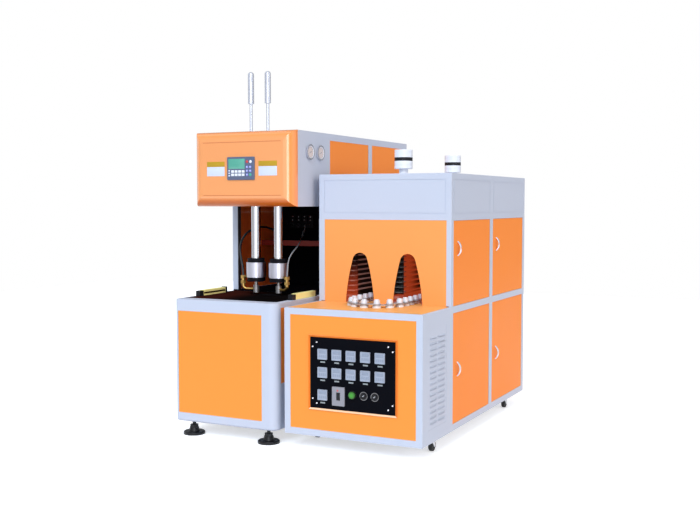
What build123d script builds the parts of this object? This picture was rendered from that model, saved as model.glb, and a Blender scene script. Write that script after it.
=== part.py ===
"""Semi-automatic blow moulding machine, two units side by side: the blower, with
its deck, seal heads, stretch rods and mould clamp, and the infrared heater that
warms the preforms. Millimetres, +Z up, the operator stands on the -Y side, and
the origin is on the floor under the middle of the pair."""
from build123d import *
import math
import os

os.makedirs("parts", exist_ok=True)

# Sheet metal and fits
sheet = 4.0
panel_sheet = 3.0
panel_fit = 0.3
panel_recess = 1.0
running_fit = 0.05
seat_fit = 0.3

# Where the two units stand
floor_clearance = 85.0
unit_gap = 48.0
blower_width = 708.0
blower_length = 1900.0
heater_width = 859.0
heater_length = 1872.0
heater_setback = 17.0
total_width = blower_width + unit_gap + heater_width
origin_shift_x = -12.0
origin_shift_y = 0.65
blower_left = origin_shift_x - total_width / 2
blower_right = blower_left + blower_width
blower_front = origin_shift_y - blower_length / 2
blower_back = blower_front + blower_length
blower_x = (blower_left + blower_right) / 2
heater_left = blower_right + unit_gap
heater_right = heater_left + heater_width
heater_front = blower_front + heater_setback
heater_back = heater_front + heater_length
heater_x = (heater_left + heater_right) / 2

# Blower base cabinet
base_height = 747.0
base_top = floor_clearance + base_height
base_corner_left = 15.0
base_corner_right = 55.0
base_lower_round = 14.0
top_slab = 10.0
front_window_left = 20.0
front_window_width = 591.0
front_window_low = 54.0
front_window_high = 676.0
side_window_low = 275.0
side_window_high = 719.0
side_window_front = 58.0
side_window_stile = 58.0
side_window_back = 45.0

# Deck and mould window
deck_left = blower_left + 12.0
deck_right = blower_right - 48.0
deck_front = blower_front + 86.0
deck_thickness = 6.0
mould_window_x = 250.0
mould_window_y = 92.0

# Blower upper body
post_y = blower_front + 638.0
post_width = 40.0
head_floor = floor_clearance + 1306.0
head_top = floor_clearance + 1762.0
head_box_y = blower_front + 265.0
body_panel_front = blower_front + 676.0
body_panel_mid = blower_front + 1240.0
body_stile = 58.0
body_panel_back = 30.0
upper_panel_low = floor_clearance + 1340.0
upper_panel_high = floor_clearance + 1720.0
lower_panel_low = base_top + 40.0
lower_panel_high = head_floor - 40.0
back_stile = 40.0
guide_boss_width = 12.0
guide_boss_height = 30.0

# Head cover and operator panel
cover_depth = 70.0
cover_round = 64.0
cover_wall = 4.0
cover_seam = 2.0
cover_seam_inset = 12.0
cover_front = head_box_y - cover_depth
screen_unit_width = 195.0
screen_unit_height = 139.0
screen_unit_z = floor_clearance + 1536.0
screen_unit_lip = 9.0
screen_unit_body = 30.0
screen_margin = 11.0
screen_width = 117.0
screen_height = 62.0

# Pressure gauges
gauge_radius = 46.0
gauge_depth = 13.0
gauge_z = floor_clearance + 1636.0
gauge_ys = (blower_front + 405.0, blower_front + 537.0)

# Seal heads and stretch unit
seal_y = blower_front + 493.0
seal_half_pitch = 83.0
seal_rod_radius = 29.0
rod_bore_radius = 9.0
seal_body_radius = 63.0
seal_body_height = 97.0
collar_radius = 55.0
collar_height = 25.0
cap_radius = 58.0
cap_height = 25.0
nozzle_tip = base_top + 10.0
nozzle_radius = 19.0
nozzle_height = 48.0
nozzle_neck_radius = 10.0
nozzle_neck_height = 24.0
yoke_thickness = 20.0
yoke_rise = 150.0
stretch_rod_radius = 6.0
guide_rod_y = blower_front + 408.0
guide_rod_half_pitch = 61.0
guide_rod_radius = 9.5
sleeve_radius = 19.0
sleeve_length = 196.0
sleeve_rise = 182.0
crosshead_thickness = 18.0
crosshead_gap = 14.0

# Brass elbows on the seal heads
elbow_pipe_radius = 10.0
elbow_offset_x = 78.0
elbow_offset_y = 30.0
elbow_bend = 24.0
elbow_nut_flats = 31.0
elbow_nut_height = 20.0

# Mould and clamp
mould_half_width = 260.0
mould_half_depth = 70.0
mould_height = 230.0
mould_drop = 2.0
cavity_radius = 32.0
cavity_neck_radius = 13.0
cavity_neck_length = 22.0
cavity_shoulder = 40.0
cavity_base = 18.0
platen_width = 400.0
platen_height = 280.0
platen_thickness = 25.0
clamp_travel = 120.0
tie_bar_radius = 15.0
tie_bar_inset = 35.0
clamp_rod_radius = 20.0
clamp_cylinder_radius = 80.0
clamp_cylinder_length = 230.0
clamp_leg = 50.0

# Inside the blower's upper body
bulkhead_y = blower_front + 1267.0
bulkhead_sheet = 5.0
beam_y = blower_front + 992.0
beam_height = 35.0
beam_depth = 40.0
beam_z = floor_clearance + 1035.0
valve_bar_x = blower_left + 96.0
valve_bar_length = 190.0
valve_bar_z = floor_clearance + 1150.0
valve_count = 4

# Light curtains beside the deck
curtain_width = 30.0
curtain_height = 36.0
curtain_block = 42.0
curtain_bar = 245.0
curtain_cap = 15.0
curtain_fronts = (blower_front + 192.0, blower_front + 225.0)
curtain_xs = (blower_left + 16.0, deck_right)

# Levelling feet
foot_inset_x = 88.0
foot_inset_y = 62.0
foot_pad_radius = 66.0
foot_pad_height = 18.0
foot_pad_slope = 5.0
foot_hub_radius = 33.0
foot_hub_top_radius = 28.0
foot_hub_height = 24.0
foot_stem_radius = 11.0
foot_nut_flats = 48.0
foot_nut_height = 16.0

# Heater cabinet
low_depth = 425.0
shelf_height = 729.0
hood_height = 1230.0
heater_height = 1500.0
shelf_top = floor_clearance + shelf_height
hood_z = floor_clearance + hood_height
heater_top = floor_clearance + heater_height
tall_front = heater_front + low_depth
frame_rail = 38.0
low_window_high = 692.0
arch_panel_high = 1228.0
arch_panel_right = 30.0
shelf_rim = 12.0
shelf_back_gap = 36.0
shelf_side_gap = 26.0
louvre_window_front = 80.0
louvre_window_back = 65.0
louvre_window_low = 80.0
louvre_window_high = 640.0
louvre_length = 97.0
louvre_height = 14.0
louvre_depth = 9.0
louvre_pitch = 31.5
louvre_rows = 16
louvre_column_gap = 27.0
louvre_slot = 6.0

# Hood
hood_sheet = 3.0
hood_round = 2.5
groove_inset = 35.0
groove_width = 5.0
groove_depth = 2.0
hood_seam_y = heater_front + 1149.0

# Doors on the heater's right side
door_fronts = (heater_front + 461.0, heater_front + 1173.0)
door_length = 656.0
door_lows = (floor_clearance + 40.0, floor_clearance + 730.0)
door_highs = (floor_clearance + 690.0, floor_clearance + 1226.0)
door_gap = 1.5
door_thickness = 20.0
door_skin = 2.0
door_edge = 8.0
door_hinge_stile = 22.0
hinge_inset = 9.0
hinge_depth = 5.0
hinge_pin_radius = 3.0
hinge_pin_reach = 12.0
hinge_block = 22.0
hinge_block_height = 14.0
handle_offset = 72.0
handle_length = 90.0
handle_width = 17.0
handle_stand = 24.0
handle_bar = 9.0
handle_heights = (floor_clearance + 356.0, floor_clearance + 1063.0)

# Control panel on the heater's front
control_left = heater_left + 171.0
control_low = floor_clearance + 165.0
control_width = 529.0
control_height = 405.0
control_sheet = 4.0
control_bezel = 9.0
control_bezel_rise = 2.5
meter_size = 60.0
meter_pitch = 89.3
meter_first = 80.0
meter_rows = (310.0, 206.0, 78.0)
meter_columns = (5, 5, 1)
meter_lip = 7.0
meter_body = 45.0
meter_recess = 2.5
breaker_x = 182.0
breaker_z = 78.0
breaker_width = 78.0
breaker_height = 107.0
breaker_lip = 8.0
breaker_body_depth = 60.0
rocker_width = 22.0
rocker_height = 42.0
rocker_depth = 14.0
rocker_crown = 5.0
rocker_pin_radius = 2.0
button_x = 269.0
knob_xs = (338.0, 406.0)
switch_z = 93.0
switch_ring_radius = 24.0
switch_hole_radius = 11.0
button_radius = 20.0
button_height = 14.0
button_travel = 4.0
knob_radius = 19.0
knob_height = 16.0
knob_grip_width = 9.0
knob_grip_height = 10.0
spindle_radius = 5.0
spindle_length = 30.0

# Arches, oven and preform chain
arch_width = 190.0
arch_height = 301.0
arch_crown = 50.0
arch_join_angle = 16.0
chain_radius = 155.5
chain_x = heater_left + 431.5
chain_front_y = heater_front + 350.0
chain_pitch = 76.2
holder_count = 46
holder_base_radius = 25.0
holder_base_height = 11.0
holder_body_radius = 18.0
holder_body_height = 42.0
holder_tip_radius = 13.5
holder_tip_height = 49.0
link_width = 48.0
link_thickness = 5.0
link_lift = 14.0
link_hole_fit = 0.2
lamp_rows = 8
lamp_radius = 5.0
lamp_pitch = 30.0
lamp_first_z = shelf_top + 70.0
lamp_length = 1120.0
lamp_bar = 14.0
lamp_stand = 34.0
bank_offset = 68.0
bank_sheet = 3.0
bank_height = 320.0
bank_rail = 46.0
bank_mouth = 66.0
bank_front_gap = 14.0
fin_depth = 58.0
fin_thickness = 3.0
screen_offset = 52.0

# Exhausts on the hood
exhaust_x = heater_left + 430.0
exhaust_ys = (heater_front + 724.0, heater_front + 1581.0)
exhaust_neck_radius = 28.0
exhaust_drum_radius = 56.0
exhaust_neck_height = 37.0
exhaust_drum_height = 48.0
exhaust_slot_height = 22.0
exhaust_cap_height = 47.0
exhaust_wall = 2.0
exhaust_groove = 1.2
exhaust_groove_height = 3.0

# Casters
caster_inset_x = 61.0
caster_inset_y = 265.0
caster_plate = 76.0
caster_plate_height = 5.0
wheel_radius = 32.0
wheel_width = 24.0
caster_trail = 28.0
fork_thickness = 4.0
fork_gap = 1.5
race_radius = 26.0
race_height = 8.0
king_pin_radius = 6.0
axle_radius = 4.0

# Air hoses, from the brass elbows to the valve bar: the points of each route
hose_radius = 6.5
thin_hose_radius = 4.0


def span_box(x, y, z, mode=Mode.ADD):
    """A box between two values on each axis."""
    with Locations(((x[0] + x[1]) / 2, (y[0] + y[1]) / 2, (z[0] + z[1]) / 2)):
        Box(x[1] - x[0], y[1] - y[0], z[1] - z[0], mode=mode)


def upright(x, y, low, high, radius, mode=Mode.ADD):
    """A vertical cylinder between two heights."""
    with Locations((x, y, (low + high) / 2)):
        Cylinder(radius, high - low, mode=mode)


def save(name, piece):
    """Label a finished piece and write it to its own file."""
    piece.part.label = name
    export_step(piece.part, f"parts/{name}.step")


def inset(span, gap):
    """A span drawn in by the same gap at both ends."""
    return (span[0] + gap, span[1] - gap)


# Windows of the two cabinets, as spans along the wall and in height
blower_side_spans = (
    (blower_front + side_window_front, body_panel_mid),
    (body_panel_mid + side_window_stile, blower_back - side_window_back),
)
base_side_z = (floor_clearance + side_window_low, floor_clearance + side_window_high)
body_side_spans = (
    (body_panel_front, body_panel_mid),
    (body_panel_mid + body_stile, blower_back - body_panel_back),
)
body_side_zs = ((lower_panel_low, lower_panel_high), (upper_panel_low, upper_panel_high))
base_front_x = (blower_left + front_window_left, blower_left + front_window_left + front_window_width)
base_front_z = (floor_clearance + front_window_low, floor_clearance + front_window_high)
blower_back_x = (blower_left + back_stile, blower_right - back_stile)
door_spans = [(front, front + door_length) for front in door_fronts]
door_zs = list(zip(door_lows, door_highs))
louvre_y = (heater_front + louvre_window_front, tall_front - louvre_window_back)
louvre_z = (floor_clearance + louvre_window_low, floor_clearance + louvre_window_high)
low_front_x = (heater_left + frame_rail, heater_right - frame_rail)
low_front_z = (floor_clearance + frame_rail, floor_clearance + low_window_high)
arch_x = (heater_left + frame_rail, heater_right - arch_panel_right)
arch_z = (shelf_top, floor_clearance + arch_panel_high)
heater_back_x = (heater_left + frame_rail, heater_right - frame_rail)


# Base cabinet of the blower: a welded sheet shell with a thick top slab
mould_window_ys = (seal_y - mould_window_y / 2, seal_y + mould_window_y / 2)
mould_window_xs = (blower_x - mould_window_x / 2, blower_x + mould_window_x / 2)
with BuildSketch(Plane.XY.offset(floor_clearance)) as base_plan:
    with Locations((blower_x, (blower_front + blower_back) / 2)):
        Rectangle(blower_width, blower_length)
    front_corners = base_plan.vertices().group_by(Axis.Y)[0].sort_by(Axis.X)
    fillet(front_corners[0], base_corner_left)
    fillet(base_plan.vertices().group_by(Axis.Y)[0].sort_by(Axis.X)[-1], base_corner_right)
    fillet(base_plan.vertices().group_by(Axis.Y)[-1], base_corner_left)

with BuildPart() as base_cavity:
    with BuildSketch(Plane.XY.offset(floor_clearance + sheet)):
        add(base_plan.sketch_local)
        offset(amount=-sheet)
    extrude(amount=base_height - sheet - top_slab)
    fillet(base_cavity.faces().sort_by(Axis.Z)[0].edges(), base_lower_round - sheet)

with BuildPart() as base_cabinet:
    extrude(base_plan.sketch, amount=base_height)
    fillet(base_cabinet.faces().sort_by(Axis.Z)[0].edges(), base_lower_round)
    add(base_cavity.part, mode=Mode.SUBTRACT)
    span_box(base_front_x, (blower_front - sheet, blower_front + 2 * sheet), base_front_z, Mode.SUBTRACT)
    for span_y in blower_side_spans:
        span_box((blower_left - sheet, blower_right + sheet), span_y, base_side_z, Mode.SUBTRACT)
    span_box(blower_back_x, (blower_back - 2 * sheet, blower_back + sheet), base_side_z, Mode.SUBTRACT)
    deck_z = (base_top - deck_thickness, base_top + sheet)
    span_box((deck_left, deck_right), (deck_front, post_y), deck_z, Mode.SUBTRACT)
    slab_z = (base_top - 2 * top_slab, base_top + sheet)
    span_box(mould_window_xs, mould_window_ys, slab_z, Mode.SUBTRACT)
    span_box(blower_back_x, (post_y + post_width, blower_back - back_stile), slab_z, Mode.SUBTRACT)
save("base_cabinet", base_cabinet)

with BuildPart() as base_front_panel:
    panel_y = (blower_front + panel_recess, blower_front + panel_recess + panel_sheet)
    span_box(inset(base_front_x, panel_fit), panel_y, inset(base_front_z, panel_fit))
save("base_front_panel", base_front_panel)

with BuildPart() as mould_deck:
    deck_span_x = inset((deck_left, deck_right), panel_fit)
    deck_span_y = inset((deck_front, post_y), panel_fit)
    span_box(deck_span_x, deck_span_y, (base_top - deck_thickness, base_top))
    span_box(mould_window_xs, mould_window_ys, slab_z, Mode.SUBTRACT)
    fillet(mould_deck.edges().filter_by(Axis.Z).group_by(SortBy.LENGTH)[0][:4], deck_thickness / 2)
save("mould_deck", mould_deck)

# Upper body of the blower: head box and rear cabinet folded as one shell
with BuildPart() as upper_body:
    with BuildSketch(Plane.YZ.offset(blower_left)) as body_side:
        with BuildLine():
            Polyline(
                (post_y, base_top),
                (post_y, head_floor),
                (head_box_y, head_floor),
                (head_box_y, head_top),
                (blower_back, head_top),
                (blower_back, base_top),
                close=True,
            )
        make_face()
    extrude(amount=blower_width)
    with BuildSketch(Plane.YZ.offset(blower_left + sheet)):
        add(body_side.sketch_local)
        offset(amount=-sheet, kind=Kind.INTERSECTION)
    extrude(amount=blower_width - 2 * sheet, mode=Mode.SUBTRACT)
    between_posts = (blower_left + post_width, blower_right - post_width)
    work_z = (base_top + sheet, head_floor)
    span_box(between_posts, (post_y - sheet, post_y + 2 * sheet), work_z, Mode.SUBTRACT)
    for post_x in (between_posts[0] - sheet, between_posts[1]):
        span_box((post_x, post_x + sheet), (post_y, post_y + post_width), (base_top + sheet, head_floor))
    head_window_x = inset((blower_left, blower_right), back_stile)
    head_window_z = inset((head_floor, head_top), back_stile)
    span_box(head_window_x, (head_box_y - sheet, head_box_y + 2 * sheet), head_window_z, Mode.SUBTRACT)
    for span_z in body_side_zs:
        for span_y in body_side_spans:
            span_box((blower_left - sheet, blower_right + sheet), span_y, span_z, Mode.SUBTRACT)
        span_box(blower_back_x, (blower_back - 2 * sheet, blower_back + sheet), span_z, Mode.SUBTRACT)
    for side in (-1, 1):
        rod_x = blower_x + side * seal_half_pitch
        guide_x = blower_x + side * guide_rod_half_pitch
        boss_top = head_floor + guide_boss_height
        upright(rod_x, seal_y, head_floor, boss_top, seal_rod_radius + guide_boss_width)
        upright(rod_x, seal_y, head_floor - sheet, boss_top, seal_rod_radius + running_fit, Mode.SUBTRACT)
        boss_radius = guide_rod_radius + guide_boss_width
        upright(guide_x, guide_rod_y, head_top - sheet, head_top + sheet, boss_radius)
        guide_bore = guide_rod_radius + running_fit
        upright(guide_x, guide_rod_y, head_top - 2 * sheet, head_top + 2 * sheet, guide_bore, Mode.SUBTRACT)
save("upper_body", upper_body)

# Inset panels of the blower's sides and back
with BuildPart() as blower_panels:
    side_walls = (
        (blower_left + panel_recess, blower_left + panel_recess + panel_sheet),
        (blower_right - panel_recess - panel_sheet, blower_right - panel_recess),
    )
    back_wall = (blower_back - panel_recess - panel_sheet, blower_back - panel_recess)
    for wall_x in side_walls:
        for span_y in blower_side_spans:
            span_box(wall_x, inset(span_y, panel_fit), inset(base_side_z, panel_fit))
        for span_z in body_side_zs:
            for span_y in body_side_spans:
                span_box(wall_x, inset(span_y, panel_fit), inset(span_z, panel_fit))
    for span_z in (base_side_z,) + body_side_zs:
        span_box(inset(blower_back_x, panel_fit), back_wall, inset(span_z, panel_fit))
save("blower_panels", blower_panels)

# Moulded head cover, a shell with a wide round on its front edges
cover_hole_x = (blower_x - screen_unit_width / 2 + screen_margin, blower_x + screen_unit_width / 2 - screen_margin)
cover_hole_z = (
    screen_unit_z - screen_unit_height / 2 + screen_margin,
    screen_unit_z + screen_unit_height / 2 - screen_margin,
)
with BuildPart() as head_cover:
    with BuildSketch(Plane.XZ.offset(-head_box_y)):
        with Locations((blower_x, (head_floor + head_top) / 2)):
            Rectangle(blower_width, head_top - head_floor)
    extrude(amount=cover_depth)
    fillet(head_cover.faces().sort_by(Axis.Y)[0].edges(), cover_round)
    offset(amount=-cover_wall, openings=head_cover.faces().sort_by(Axis.Y)[-1])
    span_box(cover_hole_x, (cover_front - sheet, cover_front + 2 * cover_wall), cover_hole_z, Mode.SUBTRACT)
    seam_x = (blower_left + cover_round + cover_seam_inset, blower_right - cover_round - cover_seam_inset)
    for seam_z in (head_floor + cover_round + cover_seam, head_top - cover_round - 2 * cover_seam):
        seam_span = (seam_z, seam_z + cover_seam)
        span_box(seam_x, (cover_front - panel_recess, cover_front + panel_recess), seam_span, Mode.SUBTRACT)
save("head_cover", head_cover)

# Operator's display unit in the cover: a bezel with a screen recess and a body behind
screen_x = blower_x - screen_unit_width / 2 + screen_margin + screen_width / 2
screen_z = screen_unit_z + screen_unit_height / 2 - screen_margin - screen_height / 2
with BuildPart() as display_unit:
    with BuildSketch(Plane.XZ.offset(-cover_front)) as display_face:
        with Locations((blower_x, screen_unit_z)):
            RectangleRounded(screen_unit_width, screen_unit_height, screen_margin / 2)
    extrude(amount=screen_unit_lip)
    chamfer(display_unit.faces().sort_by(Axis.Y)[0].edges(), panel_sheet)
    span_box(
        inset(cover_hole_x, panel_fit),
        (cover_front, cover_front + screen_unit_body),
        inset(cover_hole_z, panel_fit),
    )
    screen_floor = cover_front - screen_unit_lip
    span_box(
        (screen_x - screen_width / 2, screen_x + screen_width / 2),
        (screen_floor - panel_recess, screen_floor + panel_recess),
        (screen_z - screen_height / 2, screen_z + screen_height / 2),
        Mode.SUBTRACT,
    )
save("display_unit", display_unit)

# Two pressure gauges on the head box's right wall
with BuildPart() as pressure_gauges:
    for gauge_y in gauge_ys:
        with BuildSketch(Plane.YZ.offset(blower_right)):
            with Locations((gauge_y, gauge_z)):
                Circle(gauge_radius * 0.88)
        extrude(amount=gauge_depth)
        with BuildSketch(Plane.YZ.offset(blower_right + gauge_depth / 2)):
            with Locations((gauge_y, gauge_z)):
                Circle(gauge_radius)
        extrude(amount=gauge_depth / 2)
        with BuildSketch(Plane.YZ.offset(blower_right + gauge_depth - panel_sheet)):
            with Locations((gauge_y, gauge_z)):
                Circle(gauge_radius * 0.86)
        extrude(amount=panel_sheet, mode=Mode.SUBTRACT)
save("pressure_gauges", pressure_gauges)

# Seal heads: hollow lift rods on a yoke, with a collar, cylinder, cap and nozzle each
nozzle_top = nozzle_tip + nozzle_height + nozzle_neck_height
cap_top = nozzle_top + cap_height
seal_body_top = cap_top + seal_body_height
collar_top = seal_body_top + collar_height
yoke_low = head_floor + yoke_rise
seal_xs = (blower_x - seal_half_pitch, blower_x + seal_half_pitch)
with BuildPart() as seal_rods:
    for rod_x in seal_xs:
        upright(rod_x, seal_y, collar_top, yoke_low + yoke_thickness, seal_rod_radius)
    yoke_x = (seal_xs[0] - 1.4 * seal_rod_radius, seal_xs[1] + 1.4 * seal_rod_radius)
    yoke_y = (seal_y - 1.4 * seal_rod_radius, seal_y + 1.4 * seal_rod_radius)
    span_box(yoke_x, yoke_y, (yoke_low, yoke_low + yoke_thickness))
    for rod_x in seal_xs:
        upright(rod_x, seal_y, collar_top - sheet, yoke_low + 2 * yoke_thickness, rod_bore_radius, Mode.SUBTRACT)
save("seal_rods", seal_rods)

with BuildPart() as seal_cylinders:
    for rod_x in seal_xs:
        upright(rod_x, seal_y, cap_top, seal_body_top, seal_body_radius)
        upright(rod_x, seal_y, cap_top, seal_body_top, rod_bore_radius, Mode.SUBTRACT)
    chamfer(seal_cylinders.edges().filter_by(GeomType.CIRCLE).group_by(SortBy.RADIUS)[-1], panel_recess)
save("seal_cylinders", seal_cylinders)

with BuildPart() as seal_caps:
    for rod_x in seal_xs:
        upright(rod_x, seal_y, seal_body_top, collar_top, collar_radius)
        upright(rod_x, seal_y, nozzle_top, cap_top, cap_radius)
        upright(rod_x, seal_y, nozzle_top, collar_top, rod_bore_radius, Mode.SUBTRACT)
save("seal_caps", seal_caps)

with BuildPart() as seal_nozzles:
    for rod_x in seal_xs:
        upright(rod_x, seal_y, nozzle_tip, nozzle_tip + nozzle_height, nozzle_radius)
        upright(rod_x, seal_y, nozzle_tip + nozzle_height, nozzle_top, nozzle_neck_radius)
        nozzle_bore = stretch_rod_radius + running_fit
        upright(rod_x, seal_y, nozzle_tip, nozzle_top, nozzle_bore, Mode.SUBTRACT)
    chamfer(seal_nozzles.edges().filter_by(GeomType.CIRCLE).group_by(SortBy.RADIUS)[-1], panel_recess)
save("seal_nozzles", seal_nozzles)

# Brass elbows: down from the hose, round a bend and into the nozzle's side
elbow_top = cap_top + cap_height / 2
elbow_run_z = nozzle_tip + nozzle_height / 2
elbow_reach = math.hypot(elbow_offset_x, elbow_offset_y)
with BuildPart() as air_elbows:
    for side, rod_x in zip((-1, 1), seal_xs):
        outward = Vector(side * elbow_offset_x, -elbow_offset_y, 0)
        elbow_plane = Plane(origin=(rod_x, seal_y, elbow_run_z), x_dir=outward, z_dir=outward.cross(Vector(0, 0, 1)))
        with BuildLine(elbow_plane) as elbow_path:
            FilletPolyline(
                (nozzle_radius + seat_fit, 0),
                (elbow_reach, 0),
                (elbow_reach, elbow_top - elbow_run_z),
                radius=elbow_bend,
            )
        with BuildSketch(Plane(origin=elbow_path.line @ 0, z_dir=elbow_path.line % 0)):
            Circle(elbow_pipe_radius)
        sweep(path=elbow_path.line)
        elbow_x = rod_x + side * elbow_offset_x
        for nut_low in (elbow_top - elbow_nut_height, elbow_top - 2.6 * elbow_nut_height):
            with BuildSketch(Plane.XY.offset(nut_low)):
                with Locations((elbow_x, seal_y - elbow_offset_y)):
                    RegularPolygon(elbow_nut_flats / 2, 6, major_radius=False)
            extrude(amount=elbow_nut_height)
save("air_elbows", air_elbows)

# Stretch unit: crosshead inside the head, guide rods with sleeves above it, stretch rods below
crosshead_low = head_top - sheet - crosshead_gap - crosshead_thickness
sleeve_low = head_top + sleeve_rise
guide_xs = (blower_x - guide_rod_half_pitch, blower_x + guide_rod_half_pitch)
with BuildPart() as stretch_carriage:
    crosshead_x = (seal_xs[0] - 2 * guide_rod_radius, seal_xs[1] + 2 * guide_rod_radius)
    crosshead_y = (guide_rod_y - 2 * guide_rod_radius, seal_y + 2 * guide_rod_radius)
    span_box(crosshead_x, crosshead_y, (crosshead_low, crosshead_low + crosshead_thickness))
    fillet(stretch_carriage.edges().filter_by(Axis.Z), guide_rod_radius)
    for guide_x in guide_xs:
        upright(guide_x, guide_rod_y, crosshead_low, sleeve_low, guide_rod_radius)
        upright(guide_x, guide_rod_y, sleeve_low, sleeve_low + sleeve_length, sleeve_radius)
    sleeve_tops = stretch_carriage.edges().filter_by(GeomType.CIRCLE).group_by(Axis.Z)[-1]
    fillet(sleeve_tops, sleeve_radius * 0.9)
save("stretch_carriage", stretch_carriage)

with BuildPart() as stretch_rods:
    for rod_x in seal_xs:
        upright(rod_x, seal_y, nozzle_tip + seat_fit, crosshead_low, stretch_rod_radius)
    rod_tips = stretch_rods.edges().filter_by(GeomType.CIRCLE).group_by(Axis.Z)[0]
    fillet(rod_tips, stretch_rod_radius * 0.6)
save("stretch_rods", stretch_rods)


# Mould: two halves that meet at the parting plane, with a bottle cavity under each nozzle
def mould_half(direction):
    """One half of the mould, on the side of the parting plane that direction gives."""
    top = base_top - top_slab - mould_drop
    block_y = sorted((seal_y, seal_y + direction * mould_half_depth))
    with BuildPart() as half:
        span_box((blower_x - mould_half_width / 2, blower_x + mould_half_width / 2), block_y, (top - mould_height, top))
        for cavity_x in seal_xs:
            with BuildSketch(Plane(origin=(cavity_x, seal_y, top), x_dir=(1, 0, 0), z_dir=(0, -1, 0))):
                with BuildLine():
                    low = cavity_base - mould_height
                    neck = -cavity_neck_length
                    shoulder = neck - cavity_shoulder
                    Line((0, sheet), (cavity_neck_radius, sheet))
                    Line((cavity_neck_radius, sheet), (cavity_neck_radius, neck))
                    Spline(
                        (cavity_neck_radius, neck),
                        (cavity_radius, shoulder),
                        tangents=((0, -1), (0, -1)),
                    )
                    Line((cavity_radius, shoulder), (cavity_radius, low))
                    Line((cavity_radius, low), (0, low))
                    Line((0, low), (0, sheet))
                make_face()
            revolve(axis=Axis((cavity_x, seal_y, top), (0, 0, 1)), mode=Mode.SUBTRACT)
        chamfer(half.edges().filter_by(Axis.X).group_by(Axis.Z)[-1].sort_by(Axis.Y)[0 if direction < 0 else -1], sheet)
    return half


mould_front_half = mould_half(-1)
save("mould_front_half", mould_front_half)
mould_rear_half = mould_half(1)
save("mould_rear_half", mould_rear_half)

# Clamp: a front platen and a rear plate on tie bars, and a moving platen between them
mould_top = base_top - top_slab - mould_drop
platen_z = (mould_top - platen_height, mould_top)
platen_x = (blower_x - platen_width / 2, blower_x + platen_width / 2)
front_platen_y = (seal_y - mould_half_depth - platen_thickness, seal_y - mould_half_depth)
moving_platen_y = (seal_y + mould_half_depth, seal_y + mould_half_depth + platen_thickness)
rear_plate_low = moving_platen_y[1] + clamp_travel + platen_thickness
rear_plate_y = (rear_plate_low, rear_plate_low + platen_thickness)
tie_xs = inset(platen_x, tie_bar_inset)
tie_zs = (platen_z[0] + tie_bar_inset, platen_z[1] - tie_bar_inset)
clamp_z = (mould_top - mould_height + mould_top) / 2


def lengthwise(x, z, front, back, radius, mode=Mode.ADD):
    """A cylinder along Y between two values."""
    with Locations(Location((x, (front + back) / 2, z), (90, 0, 0))):
        Cylinder(radius, back - front, mode=mode)


with BuildPart() as clamp_frame:
    span_box(platen_x, front_platen_y, platen_z)
    span_box(platen_x, rear_plate_y, platen_z)
    for bar_x in tie_xs:
        for bar_z in tie_zs:
            lengthwise(bar_x, bar_z, front_platen_y[1] - sheet, rear_plate_y[0] + sheet, tie_bar_radius)
        for leg_y in (front_platen_y, rear_plate_y):
            leg_x = (bar_x - clamp_leg / 2, bar_x + clamp_leg / 2)
            span_box(leg_x, leg_y, (floor_clearance + sheet, platen_z[0]))
    lengthwise(blower_x, clamp_z, rear_plate_y[0] - sheet, rear_plate_y[1] + sheet, clamp_rod_radius + 2.0, Mode.SUBTRACT)
save("clamp_frame", clamp_frame)

with BuildPart() as moving_platen:
    span_box(platen_x, moving_platen_y, platen_z)
    for bar_x in tie_xs:
        for bar_z in tie_zs:
            bore = tie_bar_radius + running_fit
            lengthwise(bar_x, bar_z, moving_platen_y[0] - sheet, moving_platen_y[1] + sheet, bore, Mode.SUBTRACT)
    rod_end = rear_plate_y[1] + clamp_cylinder_length - clamp_travel - 2 * platen_thickness
    lengthwise(blower_x, clamp_z, moving_platen_y[1] - sheet, rod_end, clamp_rod_radius)
save("moving_platen", moving_platen)

with BuildPart() as clamp_cylinder:
    cylinder_end = rear_plate_y[1] + clamp_cylinder_length
    lengthwise(blower_x, clamp_z, rear_plate_y[1], cylinder_end, clamp_cylinder_radius)
    bore_end = cylinder_end - platen_thickness / 2
    lengthwise(blower_x, clamp_z, rear_plate_y[1] - sheet, bore_end, clamp_rod_radius + running_fit, Mode.SUBTRACT)
save("clamp_cylinder", clamp_cylinder)

# Bulkhead, cross beam and valve bar inside the upper body
inner_x = inset((blower_left, blower_right), sheet + seat_fit)
with BuildPart() as bulkhead:
    bulkhead_z = (base_top + sheet, head_floor - sheet)
    span_box(inner_x, (bulkhead_y, bulkhead_y + bulkhead_sheet), bulkhead_z)
    for flange_z in (bulkhead_z[0], bulkhead_z[1] - sheet):
        span_box(inner_x, (bulkhead_y, bulkhead_y + post_width), (flange_z, flange_z + sheet))
    floor_x = inset(between_posts, seat_fit)
    span_box(floor_x, (post_y, bulkhead_y), (bulkhead_z[0], bulkhead_z[0] + sheet))
save("bulkhead", bulkhead)

with BuildPart() as cross_beam:
    span_box(inner_x, (beam_y, beam_y + beam_depth), (beam_z, beam_z + beam_height))
    span_box(inner_x, (beam_y + sheet, beam_y + beam_depth), (beam_z + sheet, beam_z + beam_height - sheet), Mode.SUBTRACT)
save("cross_beam", cross_beam)

valve_pitch = valve_bar_length / valve_count
with BuildPart() as valve_bar:
    bar_y = (bulkhead_y - post_width, bulkhead_y)
    span_box((valve_bar_x, valve_bar_x + valve_bar_length), bar_y, (valve_bar_z, valve_bar_z + post_width))
    for index in range(valve_count):
        valve_x = valve_bar_x + (index + 0.5) * valve_pitch
        valve_span = (valve_x - valve_pitch * 0.4, valve_x + valve_pitch * 0.4)
        span_box(valve_span, (bar_y[0] + sheet, bar_y[1] - sheet), (valve_bar_z + post_width, valve_bar_z + 2.3 * post_width))
        lengthwise(valve_x, valve_bar_z + post_width / 2, bar_y[0] - 2 * thin_hose_radius, bar_y[0], 2 * thin_hose_radius)
save("valve_bar", valve_bar)

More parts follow.
